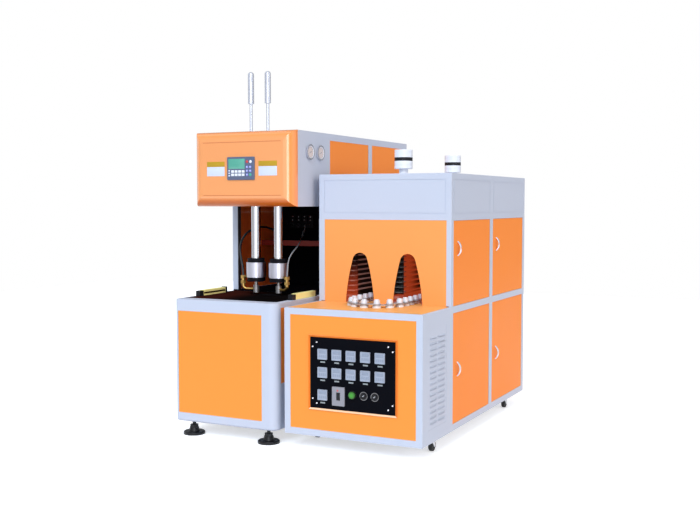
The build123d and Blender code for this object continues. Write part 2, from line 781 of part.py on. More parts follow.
# Light curtains: an end block, a bar and a cap on each side of the deck
curtain_z = (base_top, base_top + curtain_height)
with BuildPart() as light_curtain_bars:
    for low_x, front in zip(curtain_xs, curtain_fronts):
        bar_y = (front + curtain_block, front + curtain_block + curtain_bar)
        span_box((low_x, low_x + curtain_width), bar_y, curtain_z)
    fillet(light_curtain_bars.edges().filter_by(Axis.Y), panel_sheet)
save("light_curtain_bars", light_curtain_bars)

with BuildPart() as light_curtain_ends:
    for low_x, front in zip(curtain_xs, curtain_fronts):
        block_y = (front, front + curtain_block)
        span_box((low_x, low_x + curtain_width), block_y, (curtain_z[0], curtain_z[1] - panel_sheet))
        cap_x = (low_x - panel_sheet, low_x + curtain_width + panel_sheet)
        cap_y = (block_y[1] + curtain_bar, block_y[1] + curtain_bar + curtain_cap)
        span_box(cap_x, cap_y, (curtain_z[0], curtain_z[1] + panel_sheet))
    chamfer(light_curtain_ends.edges().filter_by(Axis.X).group_by(Axis.Z)[-2], panel_sheet)
save("light_curtain_ends", light_curtain_ends)

# Levelling feet: a pad, a hub, a nut and a stem, turned and screwed as one
foot_xs = (blower_left + foot_inset_x, blower_right - foot_inset_x)
foot_ys = (blower_front + foot_inset_y, blower_back - foot_inset_y)
with BuildPart() as levelling_feet:
    for foot_x in foot_xs:
        for foot_y in foot_ys:
            upright(foot_x, foot_y, 0, foot_pad_height, foot_pad_radius)
            with Locations((foot_x, foot_y, foot_pad_height + foot_hub_height / 2)):
                Cone(foot_hub_radius, foot_hub_top_radius, foot_hub_height)
            upright(foot_x, foot_y, foot_pad_height, floor_clearance, foot_stem_radius)
            with BuildSketch(Plane.XY.offset(foot_pad_height + foot_hub_height)):
                with Locations((foot_x, foot_y)):
                    RegularPolygon(foot_nut_flats / 2, 6, major_radius=False)
            extrude(amount=foot_nut_height)
    chamfer(levelling_feet.edges().filter_by(GeomType.CIRCLE).group_by(SortBy.RADIUS)[-1].group_by(Axis.Z)[-1], foot_pad_slope)
save("levelling_feet", levelling_feet)


# Air hoses: smooth tubes along hand-chosen routes
def hose(route, radius):
    """A tube of straight runs joined by arcs, as large as the runs allow, and its bend radii."""
    points = [Vector(*point) for point in route]
    runs = [(after - before).length for before, after in zip(points, points[1:])]
    radii = []
    for before, corner, after in zip(points, points[1:], points[2:]):
        turn = math.radians((corner - before).get_angle(after - corner))
        shorter = min((corner - before).length, (after - corner).length)
        radii.append(0.45 * shorter / math.tan(turn / 2))
    print("hose radii", [round(value) for value in radii], "longest run", round(max(runs)))
    with BuildPart() as tube:
        with BuildLine() as path:
            FilletPolyline(*points, radius=radii)
        with BuildSketch(Plane(origin=path.line @ 0, z_dir=path.line % 0)):
            Circle(radius)
        sweep(path=path.line)
    path_length = sum(edge.length for edge in path.edges())
    ratio = tube.part.volume / (math.pi * radius**2 * path_length)
    print("hose length", round(path_length), "volume ratio", round(ratio, 4))
    return tube


hose_start_z = elbow_top + panel_recess
elbow_left = (seal_xs[0] - elbow_offset_x, seal_y - elbow_offset_y, hose_start_z)
elbow_right = (seal_xs[1] + elbow_offset_x, seal_y - elbow_offset_y, hose_start_z)
valve_z = valve_bar_z + post_width / 2
valve_port_y = bulkhead_y - post_width - 2 * thin_hose_radius
valve_xs = [valve_bar_x + (index + 0.5) * valve_pitch for index in range(valve_count)]
hose_left_route = [
    elbow_left,
    (elbow_left[0] - 4, elbow_left[1] + 2, elbow_top + 60),
    (elbow_left[0] - 22, elbow_left[1] + 16, elbow_top + 125),
    (elbow_left[0] - 34, elbow_left[1] + 48, elbow_top + 190),
    (elbow_left[0] - 28, elbow_left[1] + 98, elbow_top + 248),
    (elbow_left[0] - 12, elbow_left[1] + 170, elbow_top + 280),
    (elbow_left[0] - 2, elbow_left[1] + 262, elbow_top + 292),
    (elbow_left[0] - 8, elbow_left[1] + 362, elbow_top + 286),
    (elbow_left[0] - 22, elbow_left[1] + 468, elbow_top + 268),
    (elbow_left[0] - 30, elbow_left[1] + 570, valve_z + 34),
    (valve_xs[0] + 6, elbow_left[1] + 660, valve_z + 8),
    (valve_xs[0], valve_port_y - 42, valve_z),
    (valve_xs[0], valve_port_y, valve_z),
]
air_hose_left = hose(hose_left_route, hose_radius)
save("air_hose_left", air_hose_left)

hose_right_route = [
    elbow_right,
    (elbow_right[0] + 3, elbow_right[1] + 3, elbow_top + 40),
    (elbow_right[0] - 2, elbow_right[1] + 16, elbow_top + 84),
    (elbow_right[0] - 4, elbow_right[1] + 44, elbow_top + 126),
    (elbow_right[0] + 2, elbow_right[1] + 86, elbow_top + 160),
    (elbow_right[0] - 6, elbow_right[1] + 142, elbow_top + 182),
    (elbow_right[0] - 34, elbow_right[1] + 216, elbow_top + 196),
    (elbow_right[0] - 74, elbow_right[1] + 300, elbow_top + 206),
    (elbow_right[0] - 122, elbow_right[1] + 392, elbow_top + 216),
    (elbow_right[0] - 168, elbow_right[1] + 490, elbow_top + 226),
    (elbow_right[0] - 180, elbow_right[1] + 536, elbow_top + 262),
    (elbow_right[0] - 195, elbow_right[1] + 594, valve_z - 8),
    (valve_xs[3] + 17, elbow_right[1] + 646, valve_z + 7),
    (valve_xs[3] + 1, valve_port_y - 65, valve_z + 3),
    (valve_xs[3], valve_port_y - 30, valve_z),
    (valve_xs[3], valve_port_y, valve_z),
]
air_hose_right = hose(hose_right_route, thin_hose_radius)
save("air_hose_right", air_hose_right)

# Frame of the heater: low box and tall cabinet as one shell, with hinge blocks and caster plates
with BuildPart() as heater_frame:
    with BuildSketch(Plane.YZ.offset(heater_left)) as heater_side:
        with BuildLine():
            Polyline(
                (heater_front, floor_clearance),
                (heater_front, shelf_top),
                (tall_front, shelf_top),
                (tall_front, hood_z),
                (heater_back, hood_z),
                (heater_back, floor_clearance),
                close=True,
            )
        make_face()
    extrude(amount=heater_width)
    with BuildSketch(Plane.YZ.offset(heater_left + sheet)):
        add(heater_side.sketch_local)
        offset(amount=-sheet, kind=Kind.INTERSECTION)
    extrude(amount=heater_width - 2 * sheet, mode=Mode.SUBTRACT)
    span_box(low_front_x, (heater_front - sheet, heater_front + 2 * sheet), low_front_z, Mode.SUBTRACT)
    shelf_hole_x = inset((heater_left, heater_right), shelf_rim)
    span_box(shelf_hole_x, (heater_front + shelf_rim, tall_front + 2 * sheet), (shelf_top - sheet, shelf_top + sheet), Mode.SUBTRACT)
    span_box(arch_x, (tall_front - sheet, tall_front + 2 * sheet), (shelf_top - 2 * sheet, arch_z[1]), Mode.SUBTRACT)
    span_box((heater_left - sheet, heater_right + sheet), louvre_y, louvre_z, Mode.SUBTRACT)
    for span_z in door_zs:
        for span_y in door_spans:
            span_box((heater_left - sheet, heater_right + sheet), span_y, span_z, Mode.SUBTRACT)
        span_box(heater_back_x, (heater_back - 2 * sheet, heater_back + sheet), span_z, Mode.SUBTRACT)
    top_hole_x = inset((heater_left, heater_right), frame_rail)
    span_box(top_hole_x, (tall_front + frame_rail, heater_back - frame_rail), (hood_z - 2 * sheet, hood_z + sheet), Mode.SUBTRACT)
    hinge_x = heater_right - hinge_depth
    for span_y in door_spans:
        hinge_y = span_y[1] - door_gap - hinge_inset
        block_y = (hinge_y - hinge_block / 2, hinge_y + hinge_block / 2)
        for span_z in door_zs:
            block_x = (heater_right - hinge_block, heater_right - sheet / 2)
            span_box(block_x, block_y, (span_z[0] - hinge_block_height, span_z[0]))
            span_box(block_x, block_y, (span_z[1], min(span_z[1] + hinge_block_height, hood_z)))
            upright(hinge_x, hinge_y, span_z[0] - sheet, span_z[0] + hinge_pin_reach, hinge_pin_radius)
            upright(hinge_x, hinge_y, span_z[1] - hinge_pin_reach, span_z[1] + sheet, hinge_pin_radius)
    caster_xs = (heater_left + caster_inset_x, heater_right - caster_inset_x)
    caster_ys = (heater_front + caster_inset_y, heater_back - caster_inset_y)
    for caster_x in caster_xs:
        for caster_y in caster_ys:
            plate_x = (caster_x - caster_plate / 2, caster_x + caster_plate / 2)
            plate_y = (caster_y - caster_plate / 2, caster_y + caster_plate / 2)
            span_box(plate_x, plate_y, (floor_clearance - caster_plate_height, floor_clearance))
            bore = king_pin_radius + running_fit
            upright(caster_x, caster_y, floor_clearance - 2 * caster_plate_height, floor_clearance + 2 * sheet, bore, Mode.SUBTRACT)
save("heater_frame", heater_frame)


# Hood over the oven, open below, with a rolled groove round each face
def groove_ring(plane, centre, size):
    """A shallow rectangular groove cut into the face that the plane lies on."""
    with BuildSketch(plane) as ring_face:
        with Locations(centre):
            Rectangle(size[0], size[1])
            Rectangle(size[0] - 2 * groove_width, size[1] - 2 * groove_width, mode=Mode.SUBTRACT)
    extrude(ring_face.sketch, amount=-groove_depth, mode=Mode.SUBTRACT)


hood_side_spans = ((tall_front, hood_seam_y), (hood_seam_y, heater_back))
hood_mid_z = (hood_z + heater_top) / 2
hood_face_height = heater_top - hood_z - 2 * groove_inset
with BuildPart() as heater_hood:
    span_box((heater_left, heater_right), (tall_front, heater_back), (hood_z, heater_top))
    fillet(heater_hood.edges().filter_by(Axis.Z) + heater_hood.faces().sort_by(Axis.Z)[-1].edges(), hood_round)
    span_box(
        inset((heater_left, heater_right), hood_sheet),
        inset((tall_front, heater_back), hood_sheet),
        (hood_z - hood_sheet, heater_top - hood_sheet),
        Mode.SUBTRACT,
    )
    groove_ring(Plane.XZ.offset(-tall_front), (heater_x, hood_mid_z), (heater_width - 2 * groove_inset, hood_face_height))
    for span_y in hood_side_spans:
        middle_y = (span_y[0] + span_y[1]) / 2
        ring = (span_y[1] - span_y[0] - 2 * groove_inset, hood_face_height)
        groove_ring(Plane.YZ.offset(heater_right), (middle_y, hood_mid_z), ring)
        groove_ring(Plane.YZ.offset(heater_left).reverse(), (-middle_y, hood_mid_z), ring)
    for exhaust_y in exhaust_ys:
        upright(exhaust_x, exhaust_y, heater_top - 2 * hood_sheet, heater_top + hood_sheet, exhaust_neck_radius - exhaust_wall, Mode.SUBTRACT)
save("heater_hood", heater_hood)

# Front panel, shelf and arched panel of the heater
control_right = control_left + control_width
control_high = control_low + control_height
meter_spots = []
for row_z, columns in zip(meter_rows, meter_columns):
    for column in range(columns):
        meter_spots.append((control_left + meter_first + column * meter_pitch, control_low + row_z))
breaker_spot = (control_left + breaker_x, control_low + breaker_z)
knob_spots = [(control_left + knob_x, control_low + switch_z) for knob_x in knob_xs]
button_spot = (control_left + button_x, control_low + switch_z)

with BuildPart() as heater_front_panel:
    heater_panel_y = (heater_front + panel_recess, heater_front + panel_recess + panel_sheet)
    span_box(inset(low_front_x, panel_fit), heater_panel_y, inset(low_front_z, panel_fit))
    bezel_y = (heater_panel_y[0] - control_bezel_rise, heater_panel_y[0] + panel_recess)
    bezel_x = inset((control_left, control_right), -control_bezel)
    bezel_z = inset((control_low, control_high), -control_bezel)
    span_box(bezel_x, bezel_y, bezel_z)
    chamfer(heater_front_panel.faces().sort_by(Axis.Y)[0].edges(), control_bezel_rise * 0.8)
    panel_seat_x = inset((control_left, control_right), -panel_fit)
    panel_seat_z = inset((control_low, control_high), -panel_fit)
    span_box(panel_seat_x, (heater_front - sheet, heater_panel_y[0]), panel_seat_z, Mode.SUBTRACT)
    control_opening_x = inset((control_left, control_right), frame_rail / 2)
    control_opening_z = inset((control_low, control_high), frame_rail / 2)
    span_box(control_opening_x, (heater_front - sheet, heater_front + 2 * sheet), control_opening_z, Mode.SUBTRACT)
save("heater_front_panel", heater_front_panel)

with BuildPart() as heater_shelf:
    shelf_z = (shelf_top - sheet, shelf_top)
    shelf_x = inset(shelf_hole_x, panel_fit)
    span_box(shelf_x, (heater_front + shelf_rim + panel_fit, tall_front + 2 * sheet), shelf_z)
    oven_x = (heater_left + sheet + seat_fit, heater_right - shelf_side_gap)
    span_box(oven_x, (tall_front + 2 * sheet, heater_back - shelf_back_gap), shelf_z)
save("heater_shelf", heater_shelf)

arch_ys = (tall_front + panel_recess, tall_front + panel_recess + panel_sheet)
arch_centres = (chain_x - chain_radius, chain_x + chain_radius)
arch_join_x = arch_crown * math.cos(math.radians(arch_join_angle))
arch_join_z = shelf_top + arch_height - arch_crown + arch_crown * math.sin(math.radians(arch_join_angle))
with BuildPart() as arched_front:
    span_box(inset(arch_x, panel_fit), arch_ys, (arch_z[0], arch_z[1] - panel_fit))
    for arch_centre in arch_centres:
        with BuildSketch(Plane.XZ.offset(-tall_front)):
            with BuildLine():
                left_foot = (arch_centre - arch_width / 2, shelf_top)
                right_foot = (arch_centre + arch_width / 2, shelf_top)
                crown = ThreePointArc(
                    (arch_centre - arch_join_x, arch_join_z),
                    (arch_centre, shelf_top + arch_height),
                    (arch_centre + arch_join_x, arch_join_z),
                )
                TangentArc(crown @ 1, right_foot, tangent=crown % 1)
                TangentArc(crown @ 0, left_foot, tangent=-(crown % 0))
                Line(left_foot, right_foot)
            make_face()
        extrude(amount=-3 * sheet, mode=Mode.SUBTRACT)
save("arched_front", arched_front)


# Louvred panels: rows of pressed hoods, each open along its lower edge
louvre_mid_y = (louvre_y[0] + louvre_y[1]) / 2
louvre_ys = (
    louvre_mid_y - (louvre_length + louvre_column_gap) / 2,
    louvre_mid_y + (louvre_length + louvre_column_gap) / 2,
)
louvre_tops = [louvre_z[1] - (row + 1.5) * louvre_pitch for row in range(louvre_rows)]
with BuildPart() as louvre_panels:
    for wall_x, outward in ((heater_right - panel_recess, 1), (heater_left + panel_recess, -1)):
        wall_span = sorted((wall_x, wall_x - outward * panel_sheet))
        span_box(wall_span, inset(louvre_y, panel_fit), inset(louvre_z, panel_fit))
        for column_y in louvre_ys:
            with BuildSketch(Plane.XZ.offset(-(column_y - louvre_length / 2))):
                for top_z in louvre_tops:
                    lip_z = top_z - louvre_height
                    with BuildLine():
                        Polyline(
                            (wall_x, top_z),
                            (wall_x + outward * louvre_depth, lip_z),
                            (wall_x + outward * (louvre_depth - panel_recess), lip_z),
                            (wall_x, top_z - panel_sheet),
                            close=True,
                        )
                    make_face()
            extrude(amount=-louvre_length)
        with BuildSketch(Plane.YZ.offset(wall_x - 2 * sheet)):
            slot_spots = [(y, z - louvre_height + louvre_slot / 2) for y in louvre_ys for z in louvre_tops]
            with Locations(*slot_spots):
                Rectangle(louvre_length - 2 * sheet, louvre_slot)
        extrude(amount=4 * sheet, mode=Mode.SUBTRACT)
save("louvre_panels", louvre_panels)

# Fixed panels on the heater's left side and back
with BuildPart() as heater_panels:
    left_wall = (heater_left + panel_recess, heater_left + panel_recess + panel_sheet)
    rear_wall = (heater_back - panel_recess - panel_sheet, heater_back - panel_recess)
    for span_z in door_zs:
        for span_y in door_spans:
            span_box(left_wall, inset(span_y, panel_fit), inset(span_z, panel_fit))
        span_box(inset(heater_back_x, panel_fit), rear_wall, inset(span_z, panel_fit))
save("heater_panels", heater_panels)

# Control panel with its instruments
control_front = heater_panel_y[0] - control_sheet
with BuildPart() as control_panel:
    with BuildSketch(Plane.XZ.offset(-heater_panel_y[0])) as control_face:
        with Locations(((control_left + control_right) / 2, (control_low + control_high) / 2)):
            RectangleRounded(control_width, control_height, panel_sheet)
        with Locations(*meter_spots):
            Rectangle(meter_size - sheet, meter_size - sheet, mode=Mode.SUBTRACT)
        with Locations(breaker_spot):
            Rectangle(breaker_width - 2 * sheet, breaker_height - 2 * sheet, mode=Mode.SUBTRACT)
        with Locations(button_spot, *knob_spots):
            Circle(switch_hole_radius, mode=Mode.SUBTRACT)
    extrude(amount=control_sheet)
    with BuildSketch(Plane.XZ.offset(-control_front)):
        with Locations(button_spot, *knob_spots):
            Circle(switch_ring_radius)
            Circle(switch_hole_radius, mode=Mode.SUBTRACT)
    extrude(amount=panel_sheet)
save("control_panel", control_panel)

with BuildPart() as panel_meters:
    with BuildSketch(Plane.XZ.offset(-control_front)):
        with Locations(*meter_spots):
            RectangleRounded(meter_size, meter_size, panel_sheet)
    extrude(amount=meter_lip)
    with BuildSketch(Plane.XZ.offset(-(control_front - meter_lip))):
        with Locations(*meter_spots):
            Rectangle(meter_size - 2 * sheet, meter_size - 2 * sheet)
    extrude(amount=-meter_recess, mode=Mode.SUBTRACT)
    with BuildSketch(Plane.XZ.offset(-control_front)):
        with Locations(*meter_spots):
            Rectangle(meter_size - sheet - 2 * panel_fit, meter_size - sheet - 2 * panel_fit)
    extrude(amount=-meter_body)
save("panel_meters", panel_meters)

rocker_y = control_front - breaker_lip
rocker_axis_y = rocker_y + rocker_depth / 2 - rocker_crown / 2
with BuildPart() as breaker_body:
    with BuildSketch(Plane.XZ.offset(-control_front)):
        with Locations(breaker_spot):
            RectangleRounded(breaker_width, breaker_height, panel_sheet)
    extrude(amount=breaker_lip)
    with BuildSketch(Plane.XZ.offset(-control_front)):
        with Locations(breaker_spot):
            Rectangle(breaker_width - 2 * sheet - 2 * panel_fit, breaker_height - 2 * sheet - 2 * panel_fit)
    extrude(amount=-breaker_body_depth)
    pocket_half_x = rocker_width / 2 + door_gap / 2
    pocket_half_z = rocker_height / 2 + door_gap
    span_box(
        (breaker_spot[0] - pocket_half_x, breaker_spot[0] + pocket_half_x),
        (rocker_y - sheet, rocker_y + rocker_depth + 3 * door_gap),
        (breaker_spot[1] - pocket_half_z, breaker_spot[1] + pocket_half_z),
        Mode.SUBTRACT,
    )
    with Locations(Location((breaker_spot[0], rocker_axis_y, breaker_spot[1]), (0, 90, 0))):
        Cylinder(rocker_pin_radius, rocker_width + 2 * door_gap)
save("breaker_body", breaker_body)

with BuildPart() as breaker_rocker:
    with BuildSketch(Plane.YZ.offset(breaker_spot[0] - rocker_width / 2)):
        with BuildLine():
            front_y = rocker_y - rocker_crown
            back_y = rocker_y + rocker_depth - rocker_crown
            low_z = breaker_spot[1] - rocker_height / 2
            high_z = breaker_spot[1] + rocker_height / 2
            ThreePointArc((rocker_y, low_z), (front_y + rocker_crown * 0.7, breaker_spot[1]), (rocker_y, high_z))
            Polyline((rocker_y, high_z), (back_y - sheet, high_z), (back_y, breaker_spot[1]), (back_y - sheet, low_z), (rocker_y, low_z))
        make_face()
    extrude(amount=rocker_width)
    with Locations(Location((breaker_spot[0], rocker_axis_y, breaker_spot[1]), (0, 90, 0))):
        Cylinder(rocker_pin_radius + running_fit, rocker_width + 2 * sheet, mode=Mode.SUBTRACT)
save("breaker_rocker", breaker_rocker)

ring_front = control_front - panel_sheet
with BuildPart() as start_button:
    with BuildSketch(Plane.XZ.offset(-(ring_front - button_travel - seat_fit))):
        with Locations(button_spot):
            Circle(button_radius)
    extrude(amount=button_height - button_travel)
    fillet(start_button.edges().filter_by(GeomType.CIRCLE).group_by(Axis.Y)[0], panel_sheet)
    lengthwise(button_spot[0], button_spot[1], ring_front - button_travel - 2 * seat_fit, ring_front + spindle_length, switch_hole_radius - running_fit)
save("start_button", start_button)


def selector_knob(spot):
    """A round knob with a raised grip across it, on a spindle through the panel."""
    with BuildPart() as knob:
        with BuildSketch(Plane.XZ.offset(-(ring_front - seat_fit))):
            with Locations(spot):
                Circle(knob_radius)
        extrude(amount=knob_height - knob_grip_height)
        fillet(knob.edges().filter_by(GeomType.CIRCLE).group_by(Axis.Y)[0], panel_recess)
        with BuildSketch(Plane.XZ.offset(-(ring_front - seat_fit - knob_height + knob_grip_height))):
            with Locations(Location((spot[0], spot[1]), 35)):
                SlotOverall(2 * knob_radius - sheet, knob_grip_width)
        extrude(amount=knob_grip_height)
        lengthwise(spot[0], spot[1], ring_front - 2 * seat_fit, ring_front + spindle_length, switch_hole_radius - running_fit)
    return knob


knob_left = selector_knob(knob_spots[0])
save("knob_left", knob_left)
knob_right = selector_knob(knob_spots[1])
save("knob_right", knob_right)


# Doors: folded pans that swing out on pins at their rear edge, each with a pull handle
def heater_door(span_y, span_z, handle_z):
    """A door pan with its hinge stile, rolled rear edge, pin holes and handle."""
    door_y = inset(span_y, door_gap)
    door_z = inset(span_z, door_gap)
    inside_x = heater_right - door_thickness
    pin_y = span_y[1] - door_gap - hinge_inset
    with BuildPart() as door:
        span_box((inside_x, heater_right), door_y, door_z)
        rear_edges = door.edges().filter_by(Axis.Z).group_by(Axis.Y)[-1]
        fillet(rear_edges.sort_by(Axis.X)[-1], door_edge)
        front_edges = door.edges().filter_by(Axis.Z).group_by(Axis.Y)[0]
        fillet(front_edges.sort_by(Axis.X)[-1], panel_recess)
        pocket_y = (door_y[0] + door_skin, door_y[1] - door_hinge_stile)
        span_box((inside_x - door_skin, heater_right - door_skin), pocket_y, inset(door_z, door_skin), Mode.SUBTRACT)
        for pin_z in ((span_z[0], span_z[0] + 2 * hinge_pin_reach), (span_z[1] - 2 * hinge_pin_reach, span_z[1])):
            upright(heater_right - hinge_depth, pin_y, pin_z[0], pin_z[1], hinge_pin_radius + running_fit, Mode.SUBTRACT)
        handle_y = span_y[0] + handle_offset
        with BuildLine() as handle_path:
            ThreePointArc(
                (heater_right - door_skin, handle_y, handle_z - (handle_length - handle_bar) / 2),
                (heater_right + handle_stand - handle_bar / 2, handle_y, handle_z),
                (heater_right - door_skin, handle_y, handle_z + (handle_length - handle_bar) / 2),
            )
        handle_start = Plane(origin=handle_path.line @ 0, x_dir=(0, 1, 0), z_dir=handle_path.line % 0)
        with BuildSketch(handle_start):
            Ellipse(handle_width / 2, handle_bar / 2)
        sweep(path=handle_path.line)
    return door


for column, span_y in zip(("front", "rear"), door_spans):
    for row, span_z, handle_z in zip(("lower", "upper"), door_zs, handle_heights):
        save(f"door_{row}_{column}", heater_door(span_y, span_z, handle_z))


# Preform chain: a closed loop of holders and link plates, level with the shelf
straight_length = (holder_count * chain_pitch - 2 * math.pi * chain_radius) / 2
chain_rear_y = chain_front_y + straight_length


def chain_point(distance):
    """Centre of the holder that lies this far along the loop."""
    turn_length = math.pi * chain_radius
    distance = distance % (2 * (straight_length + turn_length))
    if distance < turn_length:
        angle = math.pi + distance / chain_radius
        return (chain_x + chain_radius * math.cos(angle), chain_front_y + chain_radius * math.sin(angle))
    distance -= turn_length
    if distance < straight_length:
        return (chain_x + chain_radius, chain_front_y + distance)
    distance -= straight_length
    if distance < turn_length:
        angle = distance / chain_radius
        return (chain_x + chain_radius * math.cos(angle), chain_rear_y + chain_radius * math.sin(angle))
    return (chain_x - chain_radius, chain_rear_y - (distance - turn_length))


holder_spots = [chain_point(index * chain_pitch) for index in range(holder_count)]
with BuildPart() as preform_holders:
    with BuildSketch(Plane.XY.offset(shelf_top)):
        with Locations(*holder_spots):
            Circle(holder_base_radius)
    extrude(amount=holder_base_height)
    with BuildSketch(Plane.XY.offset(shelf_top)):
        with Locations(*holder_spots):
            Circle(holder_body_radius)
    extrude(amount=holder_body_height)
    with BuildSketch(Plane.XY.offset(shelf_top)):
        with Locations(*holder_spots):
            Circle(holder_tip_radius)
    extrude(amount=holder_tip_height)
save("preform_holders", preform_holders)

with BuildPart() as preform_chain:
    for layer in range(2):
        with BuildSketch(Plane.XY.offset(shelf_top + link_lift + layer * (link_thickness + seat_fit))):
            for index in range(layer, holder_count, 2):
                start = holder_spots[index]
                end = holder_spots[(index + 1) % holder_count]
                angle = math.degrees(math.atan2(end[1] - start[1], end[0] - start[0]))
                middle = ((start[0] + end[0]) / 2, (start[1] + end[1]) / 2)
                with Locations(Location(middle, angle)):
                    SlotCenterToCenter(math.dist(start, end), link_width)
            with Locations(*holder_spots):
                Circle(holder_body_radius + link_hole_fit, mode=Mode.SUBTRACT)
        extrude(amount=link_thickness)
save("preform_chain", preform_chain)

# Lamp banks beside each run of the chain: rail, reflector, fins at the mouth and lamp tubes
bank_xs = [run_x - bank_offset for run_x in arch_centres]
mouth_y = (arch_ys[1] + bank_front_gap, arch_ys[1] + bank_front_gap + bank_mouth)
lamp_y = (mouth_y[1] + lamp_bar, mouth_y[1] + lamp_bar + lamp_length)
lamp_zs = [lamp_first_z + row * lamp_pitch for row in range(lamp_rows)]
bank_z = (shelf_top, shelf_top + bank_height)
with BuildPart() as lamp_reflectors:
    for bank_x in bank_xs:
        wall_span = (bank_x - lamp_stand, bank_x - lamp_stand + bank_sheet)
        span_box(wall_span, (mouth_y[0], lamp_y[1] + lamp_bar), bank_z)
        span_box((wall_span[0], bank_x + lamp_bar / 2), mouth_y, (bank_z[0], bank_z[0] + bank_rail))
        for bar_y in ((mouth_y[1], lamp_y[0]), (lamp_y[1], lamp_y[1] + lamp_bar)):
            span_box((wall_span[0], bank_x + lamp_bar / 2), bar_y, bank_z)
        for lamp_z in lamp_zs:
            fin_z = (lamp_z - fin_thickness / 2, lamp_z + fin_thickness / 2)
            span_box((wall_span[0], wall_span[0] + fin_depth), mouth_y, fin_z)
        facing_x = bank_x + bank_offset + screen_offset
        span_box((facing_x, facing_x + bank_sheet), (mouth_y[1], lamp_y[1] + lamp_bar), bank_z)
        span_box((facing_x, facing_x + 4 * bank_sheet), (mouth_y[1], lamp_y[1] + lamp_bar), (bank_z[0], bank_z[0] + bank_sheet))
save("lamp_reflectors", lamp_reflectors)

with BuildPart() as lamp_tubes:
    for bank_x in bank_xs:
        for lamp_z in lamp_zs:
            lengthwise(bank_x, lamp_z, lamp_y[0], lamp_y[1], lamp_radius)
save("lamp_tubes", lamp_tubes)

# Exhausts: a neck, a drum, a slot and a cap turned as one, grooved outside and open through the middle
drum_low = heater_top + exhaust_neck_height
slot_low = drum_low + exhaust_drum_height
cap_low = slot_low + exhaust_slot_height
cap_high = cap_low + exhaust_cap_height
with BuildPart() as exhaust_pipes:
    for exhaust_y in exhaust_ys:
        with BuildSketch(Plane(origin=(exhaust_x, exhaust_y, 0), x_dir=(1, 0, 0), z_dir=(0, -1, 0))):
            with BuildLine():
                Polyline(
                    (exhaust_neck_radius - exhaust_wall, heater_top),
                    (exhaust_neck_radius, heater_top),
                    (exhaust_neck_radius, drum_low),
                    (exhaust_drum_radius - exhaust_wall, drum_low),
                    (exhaust_drum_radius, drum_low + exhaust_wall),
                    (exhaust_drum_radius, slot_low),
                    (exhaust_drum_radius - exhaust_wall, slot_low),
                    (exhaust_drum_radius - exhaust_wall, cap_low),
                    (exhaust_drum_radius, cap_low),
                    (exhaust_drum_radius, cap_high - exhaust_wall),
                    (exhaust_drum_radius - exhaust_wall, cap_high),
                    (exhaust_drum_radius - 2 * exhaust_wall, cap_high),
                    (exhaust_drum_radius - 2 * exhaust_wall, drum_low + exhaust_wall),
                    (exhaust_neck_radius - exhaust_wall, drum_low + exhaust_wall),
                    close=True,
                )
            make_face()
            for groove_z in ((drum_low + slot_low) / 2, (2 * cap_low + cap_high) / 3, (cap_low + 2 * cap_high) / 3):
                with Locations((exhaust_drum_radius, groove_z)):
                    Rectangle(2 * exhaust_groove, exhaust_groove_height, mode=Mode.SUBTRACT)
        revolve(axis=Axis((exhaust_x, exhaust_y, 0), (0, 0, 1)))
save("exhaust_pipes", exhaust_pipes)


# Casters: a fork that swivels under its plate and a wheel that rolls in it
def caster_fork(caster_x, caster_y):
    """A swivel fork with its king pin, race and axle, trailing towards the back."""
    race_top = floor_clearance - caster_plate_height - seat_fit
    race_low = race_top - race_height
    wheel_y = caster_y + caster_trail
    cheek = wheel_width / 2 + fork_gap
    with BuildPart() as fork:
        upright(caster_x, caster_y, race_low, race_top, race_radius)
        upright(caster_x, caster_y, race_low, floor_clearance + sheet / 2, king_pin_radius)
        for side in (-1, 1):
            with BuildSketch(Plane.YZ.offset(caster_x + side * (cheek + fork_thickness / 2) - fork_thickness / 2)):
                with BuildLine():
                    Polyline(
                        (caster_y - race_radius * 0.8, race_low + sheet),
                        (caster_y + race_radius * 0.8, race_low + sheet),
                        (wheel_y + 2 * axle_radius, wheel_radius),
                        (wheel_y, wheel_radius - 2 * axle_radius),
                        (wheel_y - 2 * axle_radius, wheel_radius),
                        close=True,
                    )
                make_face()
            extrude(amount=fork_thickness)
        with Locations(Location((caster_x, wheel_y, wheel_radius), (0, 90, 0))):
            Cylinder(axle_radius, 2 * (cheek + fork_thickness))
    return fork


def caster_wheel(caster_x, caster_y):
    """A wheel with a rounded tread and a bore for the axle."""
    with BuildPart() as wheel:
        with Locations(Location((caster_x, caster_y + caster_trail, wheel_radius), (0, 90, 0))):
            Cylinder(wheel_radius, wheel_width)
            Cylinder(axle_radius + running_fit, wheel_width, mode=Mode.SUBTRACT)
        fillet(wheel.edges().filter_by(GeomType.CIRCLE).group_by(SortBy.RADIUS)[-1], sheet)
    return wheel


for side_name, caster_x in zip(("left", "right"), caster_xs):
    for end_name, caster_y in zip(("front", "rear"), caster_ys):
        save(f"caster_fork_{end_name}_{side_name}", caster_fork(caster_x, caster_y))
        save(f"caster_wheel_{end_name}_{side_name}", caster_wheel(caster_x, caster_y))
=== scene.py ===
"""Looks of the blow moulding machine: camera, light, materials, and the small
pieces that the solids leave out. Metres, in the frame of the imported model."""

import math

import bmesh
import bpy
from mathutils import Matrix, Vector

